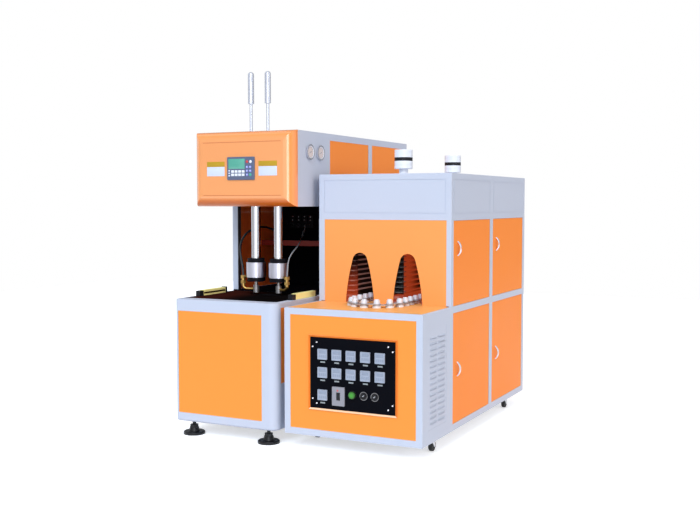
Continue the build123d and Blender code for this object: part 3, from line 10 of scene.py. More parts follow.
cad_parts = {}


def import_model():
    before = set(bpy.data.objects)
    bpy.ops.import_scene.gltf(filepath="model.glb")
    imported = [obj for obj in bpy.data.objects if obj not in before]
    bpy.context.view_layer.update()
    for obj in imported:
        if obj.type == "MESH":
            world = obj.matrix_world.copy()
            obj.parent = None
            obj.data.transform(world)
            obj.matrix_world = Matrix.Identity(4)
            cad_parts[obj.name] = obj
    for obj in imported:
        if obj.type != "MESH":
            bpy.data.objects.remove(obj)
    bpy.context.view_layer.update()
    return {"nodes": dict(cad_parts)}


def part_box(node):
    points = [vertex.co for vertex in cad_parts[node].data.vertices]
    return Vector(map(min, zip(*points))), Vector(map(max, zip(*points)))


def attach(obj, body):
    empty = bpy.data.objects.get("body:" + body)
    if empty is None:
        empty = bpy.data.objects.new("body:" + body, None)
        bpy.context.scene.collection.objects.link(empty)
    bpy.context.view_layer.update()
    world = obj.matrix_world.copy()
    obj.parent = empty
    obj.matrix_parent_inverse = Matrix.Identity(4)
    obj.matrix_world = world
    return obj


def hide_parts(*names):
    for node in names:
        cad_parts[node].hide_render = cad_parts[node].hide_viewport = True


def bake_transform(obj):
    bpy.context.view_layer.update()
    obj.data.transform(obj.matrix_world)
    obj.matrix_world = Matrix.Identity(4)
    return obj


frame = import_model()

# Camera, from the vanishing lines of the photograph. Angles in radians, focal length in pixels
photo_width = 700
camera_place = (2.7928, -5.81235, 1.418)
camera_yaw = math.radians(26.51)
camera_pitch = math.radians(-3.51)
camera_focal = 985.4
sensor_width = 36.0

# Light. Each sun is (direction it shines from, strength, colour, width in degrees)
suns = {
    "key": ((0.08, -1.0, 0.8), 2.0, (0.83, 0.97, 1.13), 35),
    "fill": ((0.9, -0.28, 0.4), 0.8, (1.04, 0.93, 0.85), 40),
}
sky_light = 0.62
sky_colour = (0.95, 0.98, 1.0)
studio_colour = (0.94, 0.96, 1.0)
floor_glow = 0.57
floor_colour = (0.8, 0.8, 0.81)
floor_reach = 9.0
# Metal sees a white studio of strength 1. Each of these takes from it or adds to it, over the
# whole height: (azimuth, half width, soft edge, strength), with angles in degrees
grey_cards = [(-143, 14, 22, -0.62), (-33, 8, 14, -0.5), (92, 46, 26, -0.7)]
softboxes = [(-59, 4, 12, 3.6)]

# Colours, linear
frame_colour = (0.55, 0.585, 0.69)
orange_colour = (0.93, 0.305, 0.054)
door_orange_colour = (1.0, 0.285, 0.05)
pale_orange_colour = (0.93, 0.35, 0.1)
shelf_colour = (0.95, 0.42, 0.12)
cover_colour = (0.93, 0.345, 0.105)
# Painted shade on the head cover: deeper colours on its rounded edges and on its underside
cover_edge_shade_colour = (1.0, 0.29, 0.04)
cover_underside_shade_colour = (0.68, 0.15, 0.014)
seam_colour = (0.74, 0.22, 0.055)
# The control panel's trim: a deeper orange for painted shade, and a pale colour for a painted
# highlight where it faces up
trim_shade_colour = (0.8, 0.19, 0.022)
trim_highlight_colour = (1.0, 0.6, 0.36)
# Painted shade on the blower's inside faces: dark on the frame, red on the orange panels and on
# the frame's left wall
inside_frame_shade_colour = (0.075, 0.06, 0.06)
inside_red_shade_colour = (1.0, 0.17, 0.03)
# The deck: near black with no gloss, which also stands in for the shade in the mould well, and a
# painted dark red reflection of the inner wall on its left
deck_colour = (0.005, 0.0035, 0.0035)
deck_painted_reflection_colour = (0.04, 0.009, 0.006)
black_colour = (0.0045, 0.0045, 0.007)
steel_colour = (0.62, 0.63, 0.66)
brass_colour = (0.62, 0.4, 0.13)
yellow_colour = (1.0, 0.9, 0.36)
button_colour = (0.035, 0.3, 0.014)
button_rim_colour = (0.025, 0.15, 0.012)
# The lamps' light on the reflectors, painted on as a red glow of the reflectors themselves
reflector_painted_light_colour = (0.42, 0.045, 0.011)
fin_colour = (0.22, 0.15, 0.13)
slat_colour = (0.095, 0.1, 0.1)
left_lamp_colour = (0.5, 0.38, 0.35)
left_lamp_glow_colour = (0.085, 0.034, 0.027)
right_lamp_colour = (0.02, 0.012, 0.012)
right_lamp_glow_colour = (0.28, 0.03, 0.008)

# Every finish has a fine grain in its bump, and a slow drift in its colour and roughness. The
# drift's scale is per metre, and the roughness goes up and down by the share given here
grain_depth = 0.001
grain_detail = 3.0
drift_scale = 2.5
drift_detail = 4.0
drift_roughness = 0.15

# Directions that turned forms point in
forward = (0, -1, 0)
backward = (0, 1, 0)
rightward = (1, 0, 0)
upward = (0, 0, 1)

# The valves behind the seal heads, along the valve bar
valve_count = 4
valve_pitch = 0.0475
valve_height = 0.02


def corners(node):
    """Lowest and highest corner of a CAD node."""
    lo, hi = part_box(node)
    return Vector(lo), Vector(hi)


def middle(node):
    """Centre of a CAD node's box."""
    lo, hi = corners(node)
    return (lo + hi) / 2


# ---------------------------------------------------------------- shader nodes


def connect(tree, value, socket):
    """Feeds a socket from another one or with a plain value, and leaves it as it is for None."""
    if isinstance(value, bpy.types.NodeSocket):
        tree.links.new(value, socket)
    elif value is not None:
        socket.default_value = value


def maths(tree, operation, first, second=None):
    """One step of arithmetic on sockets or plain values."""
    step = tree.nodes.new("ShaderNodeMath")
    step.operation = operation
    connect(tree, first, step.inputs[0])
    connect(tree, second, step.inputs[1])
    return step.outputs[0]


def vector_maths(tree, operation, first, second=None):
    """One step of vector arithmetic on sockets or plain vectors."""
    step = tree.nodes.new("ShaderNodeVectorMath")
    step.operation = operation
    connect(tree, first, step.inputs[0])
    connect(tree, second, step.inputs[1])
    return step.outputs["Value" if operation in ("DOT_PRODUCT", "LENGTH") else "Vector"]


def product(tree, *factors):
    """Sockets and plain values multiplied together."""
    result = factors[0]
    for factor in factors[1:]:
        result = maths(tree, "MULTIPLY", result, factor)
    return result


def rest_of(tree, share):
    """One less a share."""
    return maths(tree, "SUBTRACT", 1, share)


def within(tree, value, centre, reach):
    """One where a value is nearer than the reach to the centre, else zero."""
    away = maths(tree, "ABSOLUTE", maths(tree, "SUBTRACT", value, centre))
    return maths(tree, "LESS_THAN", away, reach)


def ramp(tree, value, start, end, height=1.0):
    """A socket that climbs smoothly from 0 at start to its height at end."""
    slope = tree.nodes.new("ShaderNodeMapRange")
    slope.interpolation_type = "SMOOTHSTEP"
    slope.inputs["From Min"].default_value = min(start, end)
    slope.inputs["From Max"].default_value = max(start, end)
    slope.inputs["To Min"].default_value = 0.0 if start < end else height
    slope.inputs["To Max"].default_value = height if start < end else 0.0
    tree.links.new(value, slope.inputs["Value"])
    return slope.outputs["Result"]


def colour_mix(tree, first, second, factor):
    """The first colour where the factor is 0, the second where it is 1."""
    mix = tree.nodes.new("ShaderNodeMix")
    mix.data_type = "RGBA"
    connect(tree, first, mix.inputs["A"])
    connect(tree, second, mix.inputs["B"])
    connect(tree, factor, mix.inputs["Factor"])
    return mix.outputs["Result"]


def coordinate(tree, kind):
    """The place or direction of the shaded point, as a socket."""
    return tree.nodes.new("ShaderNodeTexCoord").outputs[kind]


def along_axis(tree, vector, axis):
    """One part of a vector socket."""
    parts = tree.nodes.new("ShaderNodeSeparateXYZ")
    tree.links.new(vector, parts.inputs["Vector"])
    return parts.outputs[axis]


def place_axis(tree, axis):
    """The object's own coordinate along an axis."""
    return along_axis(tree, coordinate(tree, "Object"), axis)


def facing_axis(tree, axis):
    """The surface normal's part along an axis of the object."""
    return along_axis(tree, coordinate(tree, "Normal"), axis)


def noise(tree, place, scale, detail):
    """A noise texture's value, between 0 and 1."""
    texture = tree.nodes.new("ShaderNodeTexNoise")
    texture.inputs["Scale"].default_value = scale
    texture.inputs["Detail"].default_value = detail
    tree.links.new(place, texture.inputs["Vector"])
    return texture.outputs["Fac"]


# ---------------------------------------------------------------- materials


def finish(name, colour, roughness, metallic=0.0, grain=0.05, grain_size=0.004,
           stretch=(1, 1, 1), tint=0.03, **sockets):
    """A paint, metal or plastic with a fine grain in its bump and a slow drift in its colour
    and gloss. Further shader sockets go by their names, with _ for a space."""
    material = bpy.data.materials.new(name)
    material.use_nodes = True
    tree = material.node_tree
    shader = tree.nodes["Principled BSDF"]
    shader.inputs["Metallic"].default_value = metallic
    for socket, value in sockets.items():
        shader.inputs[socket.replace("_", " ")].default_value = value

    place = coordinate(tree, "Object")
    stretched = tree.nodes.new("ShaderNodeMapping")
    stretched.inputs["Scale"].default_value = stretch
    tree.links.new(place, stretched.inputs["Vector"])
    fine = noise(tree, stretched.outputs["Vector"], 1.0 / grain_size, grain_detail)
    bump = tree.nodes.new("ShaderNodeBump")
    bump.inputs["Strength"].default_value = grain
    bump.inputs["Distance"].default_value = grain_depth
    tree.links.new(fine, bump.inputs["Height"])
    tree.links.new(bump.outputs["Normal"], shader.inputs["Normal"])

    drift = noise(tree, place, drift_scale, drift_detail)
    darker = (*[part * (1 - tint) for part in colour], 1)
    lighter = (*[min(1.0, part * (1 + tint)) for part in colour], 1)
    tree.links.new(colour_mix(tree, darker, lighter, drift), shader.inputs["Base Color"])
    gloss = tree.nodes.new("ShaderNodeMapRange")
    gloss.inputs["To Min"].default_value = roughness * (1 - drift_roughness)
    gloss.inputs["To Max"].default_value = min(1.0, roughness * (1 + drift_roughness))
    tree.links.new(drift, gloss.inputs["Value"])
    tree.links.new(gloss.outputs["Result"], shader.inputs["Roughness"])
    return material


def paint(name, colour, gloss=0.12):
    """Powder coat: a faint orange peel under a thin gloss."""
    return finish(name, colour, 0.42, grain=0.06, grain_size=0.003, tint=0.015,
                  Specular_IOR_Level=gloss)


def brushed(name, colour, roughness, stretch):
    """Metal ground in one direction."""
    return finish(name, colour, roughness, 1.0, grain=0.12, grain_size=0.002, stretch=stretch,
                  tint=0.05)


def base_mix(material, colour, factor):
    """Blends another base colour over the material's own, where the factor socket is one."""
    tree = material.node_tree
    base = tree.nodes["Principled BSDF"].inputs["Base Color"]
    own = base.links[0].from_socket
    tree.links.new(colour_mix(tree, own, (*colour, 1), factor), base)


def paint_inside_shade(material, colour, centre):
    """Paints shade in the given colour over the faces that look in towards the cabinet's middle.
    """
    tree = material.node_tree
    away = vector_maths(tree, "SUBTRACT", coordinate(tree, "Object"), centre)
    level = vector_maths(tree, "MULTIPLY", away, (1, 1, 0))
    normal = tree.nodes.new("ShaderNodeNewGeometry").outputs["Normal"]
    facing = vector_maths(tree, "DOT_PRODUCT", level, normal)
    base_mix(material, colour, maths(tree, "LESS_THAN", facing, -0.001))
    return material


frame_paint = paint("frame_paint", frame_colour)
orange_paint = paint("orange_paint", orange_colour)
pale_orange_paint = paint("pale_orange_paint", pale_orange_colour)
shelf_paint = paint("shelf_paint", shelf_colour)
door_orange_paint = paint("door_orange_paint", door_orange_colour, gloss=0.05)
yellow_paint = paint("yellow_paint", yellow_colour)
orange_plastic = finish(
    "orange_plastic", cover_colour, 0.3, grain=0.03, grain_size=0.006, tint=0.015,
    Coat_Weight=1.0, Coat_IOR=1.8, Coat_Roughness=0.16,
)
deck_plate = finish(
    "deck_plate", deck_colour, 0.6, grain=0.03, grain_size=0.004, Specular_IOR_Level=0.0,
)
black_paint = finish("black_paint", black_colour, 0.5, grain=0.08, Specular_IOR_Level=0.1)
liner_black = finish("liner_black", black_colour, 0.7, grain=0.08, Specular_IOR_Level=0.0)
panel_black = finish(
    "panel_black", (0.0025, 0.0028, 0.005), 0.4, grain=0.05, Specular_IOR_Level=0.03,
)
black_plastic = finish(
    "black_plastic", (0.01, 0.01, 0.012), 0.5, grain=0.15, grain_size=0.0015,
    Specular_IOR_Level=0.3,
)
chrome = finish("chrome", (0.8, 0.8, 0.84), 0.12, 1.0, grain=0.01, tint=0.02)
turned_metal = brushed("turned_metal", (0.6, 0.6, 0.68), 0.32, (1, 1, 12))
ground_steel = brushed("ground_steel", steel_colour, 0.35, (6, 1, 1))
holder_metal = finish(
    "holder_metal", (0.8, 0.83, 0.9), 0.4, 0.25, grain=0.04, grain_size=0.001,
)
nozzle_metal = finish(
    "nozzle_metal", (0.42, 0.41, 0.42), 0.35, 0.8, grain=0.04, grain_size=0.001,
)
satin_metal = finish(
    "satin_metal", (0.84, 0.86, 0.94), 0.32, 0.5, grain=0.01, grain_size=0.002, tint=0.01,
)
sleeve_metal = finish(
    "sleeve_metal", (0.7, 0.72, 0.8), 0.28, 0.65, grain=0.002, grain_size=0.004, tint=0.01,
)
mould_steel = finish("mould_steel", (0.03, 0.028, 0.03), 0.4, 0.5, grain=0.05)
# Painted shade: the cross beam gets a dark red that stands in for orange paint in shade
shaded_beam_red = finish("shaded_beam_red", (0.34, 0.03, 0.02), 0.45, grain=0.06, Specular_IOR_Level=0.3)
chain_metal = finish("chain_metal", (0.42, 0.4, 0.41), 0.4, 0.5, grain=0.1, grain_size=0.001)
switch_metal = finish("switch_metal", (0.3, 0.3, 0.31), 0.3, 0.9, grain=0.05, grain_size=0.001)
brass = finish("brass", brass_colour, 0.3, 1.0, grain=0.05, grain_size=0.001, tint=0.1)
cast_black = finish(
    "cast_black", (0.006, 0.006, 0.008), 0.34, grain=0.15, grain_size=0.002,
    Specular_IOR_Level=0.35,
)
tyre_black = finish("tyre_black", (0.012, 0.012, 0.012), 0.65, grain=0.2, grain_size=0.001)
hose_black = finish("hose_black", (0.012, 0.012, 0.014), 0.3, grain=0.03, grain_size=0.002)
hose_clear = finish("hose_clear", (0.34, 0.35, 0.37), 0.25, grain=0.03, grain_size=0.002)
display_blue = finish("display_blue", (0.105, 0.13, 0.21), 0.35, grain=0.05, grain_size=0.0015)
meter_face = finish("meter_face", (0.36, 0.4, 0.49), 0.4, grain=0.04, grain_size=0.001)
meter_window = finish("meter_window", (0.27, 0.31, 0.4), 0.3, grain=0.02)
strip_grey = finish("strip_grey", (0.28, 0.31, 0.32), 0.45, grain=0.02)
breaker_grey = finish("breaker_grey", (0.28, 0.275, 0.31), 0.5, grain=0.1, grain_size=0.001)
button_green = finish("button_green", button_colour, 0.3, grain=0.02, Coat_Weight=0.15)
reflector = finish(
    "reflector", (0.016, 0.011, 0.011), 0.5, grain=0.1,
    Emission_Color=(*reflector_painted_light_colour, 1),
)
white_enamel = finish("white_enamel", (0.82, 0.84, 0.9), 0.3, grain=0.02)
red_key = finish("red_key", (0.62, 0.06, 0.06), 0.35, grain=0.02)
violet_key = finish("violet_key", (0.2, 0.22, 0.62), 0.35, grain=0.02)
teal_key = finish("teal_key", (0.08, 0.42, 0.3), 0.35, grain=0.02)
ochre_band = finish("ochre_band", (0.5, 0.3, 0.012), 0.45, grain=0.03)
plate_pale = finish("plate_pale", (0.66, 0.7, 0.86), 0.4, grain=0.02)
dial_white = finish("dial_white", (0.72, 0.62, 0.6), 0.35, grain=0.01)
lens_dark = finish("lens_dark", (0.02, 0.008, 0.006), 0.08, grain=0.01, Coat_Weight=0.6)
screen_teal = finish(
    "screen_teal", (0.1, 0.4, 0.3), 0.16, grain=0.01, tint=0.12,
    Coat_Weight=0.5, Coat_Roughness=0.05,
)
quartz = finish("quartz", (0.16, 0.14, 0.14), 0.2, grain=0.01, Emission_Strength=1.0)

# The blower's sheet metal gets its finishes in cabinet_finishes, the casters in dress_frame
node_finish = {
    "base_front_panel": orange_paint,
    "mould_deck": deck_plate,
    "head_cover": orange_plastic,
    "display_unit": display_blue,
    "pressure_gauges": chrome,
    "seal_rods": chrome,
    "seal_cylinders": turned_metal,
    "seal_caps": black_paint,
    "seal_nozzles": nozzle_metal,
    "air_elbows": brass,
    "stretch_carriage": sleeve_metal,
    "stretch_rods": sleeve_metal,
    "mould_front_half": mould_steel,
    "mould_rear_half": mould_steel,
    "clamp_frame": ground_steel,
    "moving_platen": ground_steel,
    "clamp_cylinder": turned_metal,
    "bulkhead": liner_black,
    "cross_beam": shaded_beam_red,
    "valve_bar": black_paint,
    "light_curtain_bars": yellow_paint,
    "light_curtain_ends": black_plastic,
    "levelling_feet": cast_black,
    "heater_frame": frame_paint,
    "heater_hood": frame_paint,
    "heater_front_panel": orange_paint,
    "heater_shelf": shelf_paint,
    "louvre_panels": frame_paint,
    "arched_front": pale_orange_paint,
    "heater_panels": door_orange_paint,
    "control_panel": panel_black,
    "panel_meters": meter_face,
    "breaker_body": breaker_grey,
    "breaker_rocker": black_plastic,
    "start_button": button_green,
    "knob_left": black_plastic,
    "knob_right": black_plastic,
    "door_lower_front": door_orange_paint,
    "door_upper_front": door_orange_paint,
    "door_lower_rear": door_orange_paint,
    "door_upper_rear": door_orange_paint,
    "preform_holders": holder_metal,
    "preform_chain": chain_metal,
    "lamp_reflectors": reflector,
    "lamp_tubes": quartz,
    "exhaust_pipes": white_enamel,
}


def cabinet_finishes():
    """The blower's sheet metal with painted shade, dark and red, on its inside faces, and a
    painted red reflection on the left of its deck.
    """
    body_lo = corners("upper_body")[0]
    inside = middle("upper_body")
    # Painted shade: the base's inside faces go near black, the orange panels' inside faces red,
    # the frame's inside faces dark
    base_paint = paint("base_paint_inside_shade", frame_colour)
    node_finish["base_cabinet"] = paint_inside_shade(base_paint, black_colour, middle("seal_cylinders"))
    panel_paint = paint("orange_paint_inside_shade", door_orange_colour)
    node_finish["blower_panels"] = paint_inside_shade(panel_paint, inside_red_shade_colour, inside)
    body_paint = paint("frame_paint_inside_shade", frame_colour)
    node_finish["upper_body"] = paint_inside_shade(body_paint, inside_frame_shade_colour, inside)

    # Painted shade: the frame's left wall, where it faces right on the inside, gets the red of the
    # shaded orange panels
    wall_depth = 0.006
    tree = body_paint.node_tree
    in_wall = maths(tree, "LESS_THAN", place_axis(tree, "X"), body_lo.x + wall_depth)
    faces_right = ramp(tree, facing_axis(tree, "X"), 0.5, 0.9)
    base_mix(body_paint, inside_red_shade_colour, product(tree, in_wall, faces_right))

    # Painted reflection: dark red over the deck's left part, fading out towards the right
    deck_lo = corners("mould_deck")[0]
    reflection_end, reflection_full = deck_lo.x + 0.36, deck_lo.x + 0.12
    tree = deck_plate.node_tree
    base_mix(deck_plate, deck_painted_reflection_colour, ramp(tree, place_axis(tree, "X"), reflection_end, reflection_full))


def cover_finish():
    """The moulded head cover: painted shade as a deeper colour at its rounded edges and below, and
    two seams.
    """
    lo, hi = corners("head_cover")
    centre, half = (lo + hi) / 2, (hi - lo) / 2
    seam_inset, seam_end, seam_half_width = 0.067, 0.076, 0.0024
    tree = orange_plastic.node_tree
    # Painted shade: deeper orange where the surface turns away from the front, darker still where
    # it faces down
    edge = ramp(tree, facing_axis(tree, "Y"), -0.98, -0.7)
    base_mix(orange_plastic, cover_edge_shade_colour, edge)
    underside = ramp(tree, facing_axis(tree, "Z"), -0.05, -0.65)
    base_mix(orange_plastic, cover_underside_shade_colour, underside)
    coat = ramp(tree, facing_axis(tree, "Z"), -0.4, -0.02)
    tree.links.new(coat, tree.nodes["Principled BSDF"].inputs["Coat Weight"])

    from_middle = maths(tree, "SUBTRACT", place_axis(tree, "Z"), centre.z)
    from_middle = maths(tree, "ABSOLUTE", from_middle)
    seam = within(tree, from_middle, half.z - seam_inset, seam_half_width)
    across = within(tree, place_axis(tree, "X"), centre.x, half.x - seam_end)
    base_mix(orange_plastic, seam_colour, product(tree, seam, across))


def button_finish():
    """The start button, darker towards its rim."""
    tree = button_green.node_tree
    away = vector_maths(tree, "SUBTRACT", coordinate(tree, "Object"), middle("start_button"))
    flat = vector_maths(tree, "MULTIPLY", away, (1, 0, 1))
    rim = ramp(tree, vector_maths(tree, "LENGTH", flat), 0.006, 0.018)
    base_mix(button_green, button_rim_colour, rim)


def oven_finishes():
    """The lamp banks behind the arches: pale fins and a painted glow of lamp light at the left
    mouth, dark slats and a red wall lit by painted glow at the right."""
    lo = corners("lamp_reflectors")[0]
    between_banks = (lo.x + 0.28, lo.x + 0.3)
    fin_pitch, first_fin = 0.03, lo.z + 0.055
    tree = reflector.node_tree
    depth, height = place_axis(tree, "Y"), place_axis(tree, "Z")
    right_bank = ramp(tree, place_axis(tree, "X"), *between_banks)
    left_bank = rest_of(tree, right_bank)
    inside = ramp(tree, depth, lo.y + 0.068, lo.y + 0.072)
    mouth = rest_of(tree, inside)

    step = maths(tree, "DIVIDE", maths(tree, "SUBTRACT", height, first_fin), fin_pitch)
    step = maths(tree, "FRACT", step)
    fin = within(tree, step, 0.5, 0.055)
    slat = within(tree, step, 0.5, 0.25)
    base_mix(reflector, fin_colour, product(tree, fin, left_bank, mouth))
    base_mix(reflector, slat_colour, product(tree, slat, right_bank))

    # Painted light: the reflectors glow red, low at the left mouth, and on the right bank's inner
    # wall and foot
    low = ramp(tree, height, lo.z + 0.26, lo.z + 0.02)
    near = ramp(tree, depth, lo.y + 0.2, lo.y + 0.03)
    left_painted_light = product(tree, left_bank, low, near, 0.8)
    wall = product(tree, inside, ramp(tree, depth, lo.y + 0.42, lo.y + 0.22))
    foot = ramp(tree, height, lo.z + 0.058, lo.z + 0.05)
    right_painted_light = product(tree, right_bank, maths(tree, "MAXIMUM", wall, foot), 0.7)
    glow = maths(tree, "ADD", left_painted_light, right_painted_light)
    tree.links.new(glow, tree.nodes["Principled BSDF"].inputs["Emission Strength"])

    tree = quartz.node_tree
    right_lamp = ramp(tree, place_axis(tree, "X"), *between_banks)
    base_mix(quartz, right_lamp_colour, right_lamp)
    base_mix(quartz, left_lamp_colour, rest_of(tree, right_lamp))
    warmth = colour_mix(
        tree, (*left_lamp_glow_colour, 1), (*right_lamp_glow_colour, 1), right_lamp
    )
    tree.links.new(warmth, tree.nodes["Principled BSDF"].inputs["Emission Color"])


def dress_frame():
    """Gives each CAD node its finish. The two hoses have none, as they are replaced."""
    for name, node in frame["nodes"].items():
        look = node_finish.get(name)
        if name.startswith("caster_fork"):
            look = ground_steel
        if name.startswith("caster_wheel"):
            look = tyre_black
        if look is None:
            continue
        if not node.material_slots:
            node.data.materials.append(look)
        for slot in node.material_slots:
            slot.material = look


# ---------------------------------------------------------------- mesh tools


def slab(bm, lo, hi, bevel=0.0008):
    """A block between two corners, with its edges rounded."""
    lo, hi = Vector(lo), Vector(hi)
    size = Matrix.Diagonal((*(hi - lo), 1))
    made = bmesh.ops.create_cube(bm, size=1, matrix=Matrix.Translation((lo + hi) / 2) @ size)
    edges = list({edge for vert in made["verts"] for edge in vert.link_edges})
    bmesh.ops.bevel(bm, geom=edges, offset=bevel, segments=2, affect="EDGES", profile=0.5)


def turned(bm, profile, centre, axis, steps=40):
    """A turned form. The profile holds (radius, distance along the axis) from one end to the
    other, and a radius of 0 closes the form with a point."""
    turn = Vector(upward).rotation_difference(Vector(axis)).to_matrix().to_4x4()
    place = Matrix.Translation(Vector(centre)) @ turn
    angles = [2 * math.pi * step / steps for step in range(steps)]
    rings = []
    for radius, along in profile:
        spots = [(radius * math.cos(a), radius * math.sin(a), along) for a in angles]
        if radius == 0:
            spots = spots[:1]
        rings.append([bm.verts.new(place @ Vector(spot)) for spot in spots])
    for lower, upper in zip(rings, rings[1:]):
        for step in range(steps):
            after = (step + 1) % steps
            if len(lower) == 1:
                bm.faces.new((lower[0], upper[after], upper[step]))
            elif len(upper) == 1:
                bm.faces.new((lower[step], lower[after], upper[0]))
            else:
                bm.faces.new((lower[step], lower[after], upper[after], upper[step]))


def flat_face(bm, points):
    """A single face through the points."""
    bm.faces.new([bm.verts.new(point) for point in points])


def add_object(name, data):
    """Puts data into the scene as a new object."""
    obj = bpy.data.objects.new(name, data)
    bpy.context.collection.objects.link(obj)
    return obj


def piece(name, bm, look, body="machine"):
    """Closes a mesh into an object with a finish, smooth but for its sharp edges, on its
    CAD body."""
    bmesh.ops.recalc_face_normals(bm, faces=bm.faces)
    for face in bm.faces:
        face.smooth = True
    for edge in bm.edges:
        edge.smooth = edge.calc_face_angle(0.0) < math.radians(40)
    mesh = bpy.data.meshes.new(name)
    bm.to_mesh(mesh)
    bm.free()
    mesh.materials.append(look)
    obj = add_object(name, mesh)
    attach(obj, body)


# ---------------------------------------------------------------- head cover


def display():
    """Screen, square keys and round keys on the operator's display unit."""
    lo, hi = corners("display_unit")
    key_root = 0.001

    def spot(x, z, proud=0.0):
        """A point x across and z down from the unit's top left corner, both in mm, that
        stands proud of its face."""
        return Vector((lo.x + x / 1000, lo.y - proud, hi.z - z / 1000))

    def key(x, z, width, height, proud, bevel=0.0008):
        """A square key round the point x, z, all in mm but for how far it stands proud."""
        half = Vector((width / 2000, 0, height / 2000))
        slab(bm, spot(x, z, proud) - half, spot(x, z, -key_root) + half, bevel)

    bm = bmesh.new()
    key(69.5, 42, 116, 61, -0.0004, bevel=0.0003)
    piece("display_screen", bm, screen_teal)
    bm = bmesh.new()
    for row in range(2):
        for column in range(4):
            key(42 + column * 25, 88 + row * 20, 20, 15, 0.0016)
    piece("display_white_keys", bm, white_enamel)
    bm = bmesh.new()
    for row in range(3):
        key(18, 83 + row * 15, 12, 9, 0.0012)
    piece("display_side_keys", bm, plate_pale)

    round_keys = {
        "violet": (violet_key, [(145, 62), (145, 85), (145, 108), (168, 62), (168, 85)]),
        "teal": (teal_key, [(168, 108)]),
        "white": (white_enamel, [(170, 30)]),
        "red": (red_key, [(145, 30)]),
    }
    key_profile = [(0.0086, -key_root), (0.0086, 0.0012), (0.0074, 0.0022), (0, 0.0026)]
    dot_profile = [(0.0035, -0.0005), (0.0035, 0.0006), (0, 0.0008)]
    for colour, (look, spots) in round_keys.items():
        bm = bmesh.new()
        for x, z in spots:
            turned(bm, key_profile, spot(x, z), forward, 28)
        piece(f"display_{colour}_keys", bm, look)
    bm = bmesh.new()
    for x, z in round_keys["violet"][1]:
        turned(bm, dot_profile, spot(x, z, 0.0022), forward, 20)
    piece("display_key_dots", bm, white_enamel)


def blank_plates():
    """Two bare two-tone plates beside the display."""
    lo, hi = corners("display_unit")
    cover_face = corners("head_cover")[0].y
    left_gap, right_gap = 0.086, 0.09
    half_width, proud, root, bevel = 0.064, 0.0008, 0.0006, 0.0004
    bands = (("pale", 1.576, 1.632, plate_pale), ("ochre", 1.6325, 1.664, ochre_band))
    for side, x in (("left", lo.x - left_gap), ("right", hi.x + right_gap)):
        for band, low_z, high_z, look in bands:
            bm = bmesh.new()
            near = (x - half_width, cover_face - proud, low_z)
            far = (x + half_width, cover_face + root, high_z)
            slab(bm, near, far, bevel)
            piece(f"plate_{band}_{side}", bm, look)


# ---------------------------------------------------------------- gauges


def gauges():
    """Dial, bezel, ticks, needle and hub of each pressure gauge on the right wall."""
    lo, hi = corners("pressure_gauges")
    radius = (hi.z - lo.z) / 2
    face = hi.x - 0.003
    rim = radius * 0.855
    dial_profile = [(rim, 0.0), (rim, 0.0006), (0, 0.0006)]
    ring_profile = [(rim, 0.0006), (radius * 0.85, 0.0024)]
    ring_profile += [(radius * 0.74, 0.0012), (radius * 0.73, 0.0006)]
    hub_profile = [(0.004, 0.0), (0.004, 0.002), (0.0028, 0.0026), (0, 0.0026)]
    tick_count, first_tick, tick_step, needle_at = 11, 225, 27, 205
    tick_near, tick_far, tick_half_width, tick_lift = radius * 0.56, radius * 0.7, 0.0007, 0.0008
    needle_tail, needle_half_width, needle_lift = 0.008, 0.0016, 0.0016
    needle_reach = radius * 0.6

    def arm_at(degrees):
        """Unit vectors along an arm on the dial and across it."""
        angle = math.radians(degrees)
        arm = Vector((0, math.cos(angle), math.sin(angle)))
        return arm, Vector((0, -arm.z, arm.y))

    for label, centre_y in (("front", lo.y + radius), ("rear", hi.y - radius)):
        centre = Vector((face, centre_y, (lo.z + hi.z) / 2))
        bm = bmesh.new()
        turned(bm, dial_profile, centre, rightward)
        piece(f"gauge_dial_{label}", bm, dial_white)
        bm = bmesh.new()
        turned(bm, ring_profile, centre, rightward)
        piece(f"gauge_ring_{label}", bm, satin_metal)
        bm = bmesh.new()
        base = centre + Vector((tick_lift, 0, 0))
        for step in range(tick_count):
            arm, across = arm_at(first_tick - tick_step * step)
            near, far = base + arm * tick_near, base + arm * tick_far
            side = across * tick_half_width
            flat_face(bm, (near - side, near + side, far + side, far - side))
        arm, across = arm_at(needle_at)
        base = centre + Vector((needle_lift, 0, 0))
        tail, side = base - arm * needle_tail, across * needle_half_width
        flat_face(bm, (tail - side, tail + side, base + arm * needle_reach))
        piece(f"gauge_marks_{label}", bm, black_plastic)
        bm = bmesh.new()
        turned(bm, hub_profile, centre, rightward, 20)
        piece(f"gauge_hub_{label}", bm, chrome)


# ---------------------------------------------------------------- heater control panel


def meter_details():
    """Windows and ribs of the eleven meters, and the strip below each."""
    panel_face = corners("control_panel")[0].y + 0.003
    lo, hi = corners("panel_meters")
    recess = lo.y + 0.0025
    half_size, column_pitch, row_pitch = 0.03, 0.0893, 0.104
    columns = [lo.x + half_size + step * column_pitch for step in range(5)]
    rows = [hi.z - half_size, hi.z - half_size - row_pitch]
    spots = [(x, z) for z in rows for x in columns] + [(columns[0], lo.z + half_size)]

    def plate(x, z, half_width, low, high, front, back):
        """A thin plate across x, from low to high above z."""
        slab(bm, (x - half_width, front, z + low), (x + half_width, back, z + high), 0.0005)

    bm = bmesh.new()
    for x, z in spots:
        plate(x, z, 0.021, 0.004, 0.021, recess - 0.0014, recess + 0.001)
        for step in range(4):
            rib = x - 0.018 + step * 0.012
            plate(rib, z, 0.004, -0.019, -0.004, recess - 0.0012, recess + 0.001)
    piece("meter_windows", bm, meter_window)
    bm = bmesh.new()
    for x, z in spots:
        plate(x, z, 0.015, -0.049, -0.041, panel_face - 0.001, panel_face + 0.0005)
    piece("meter_strips", bm, strip_grey)


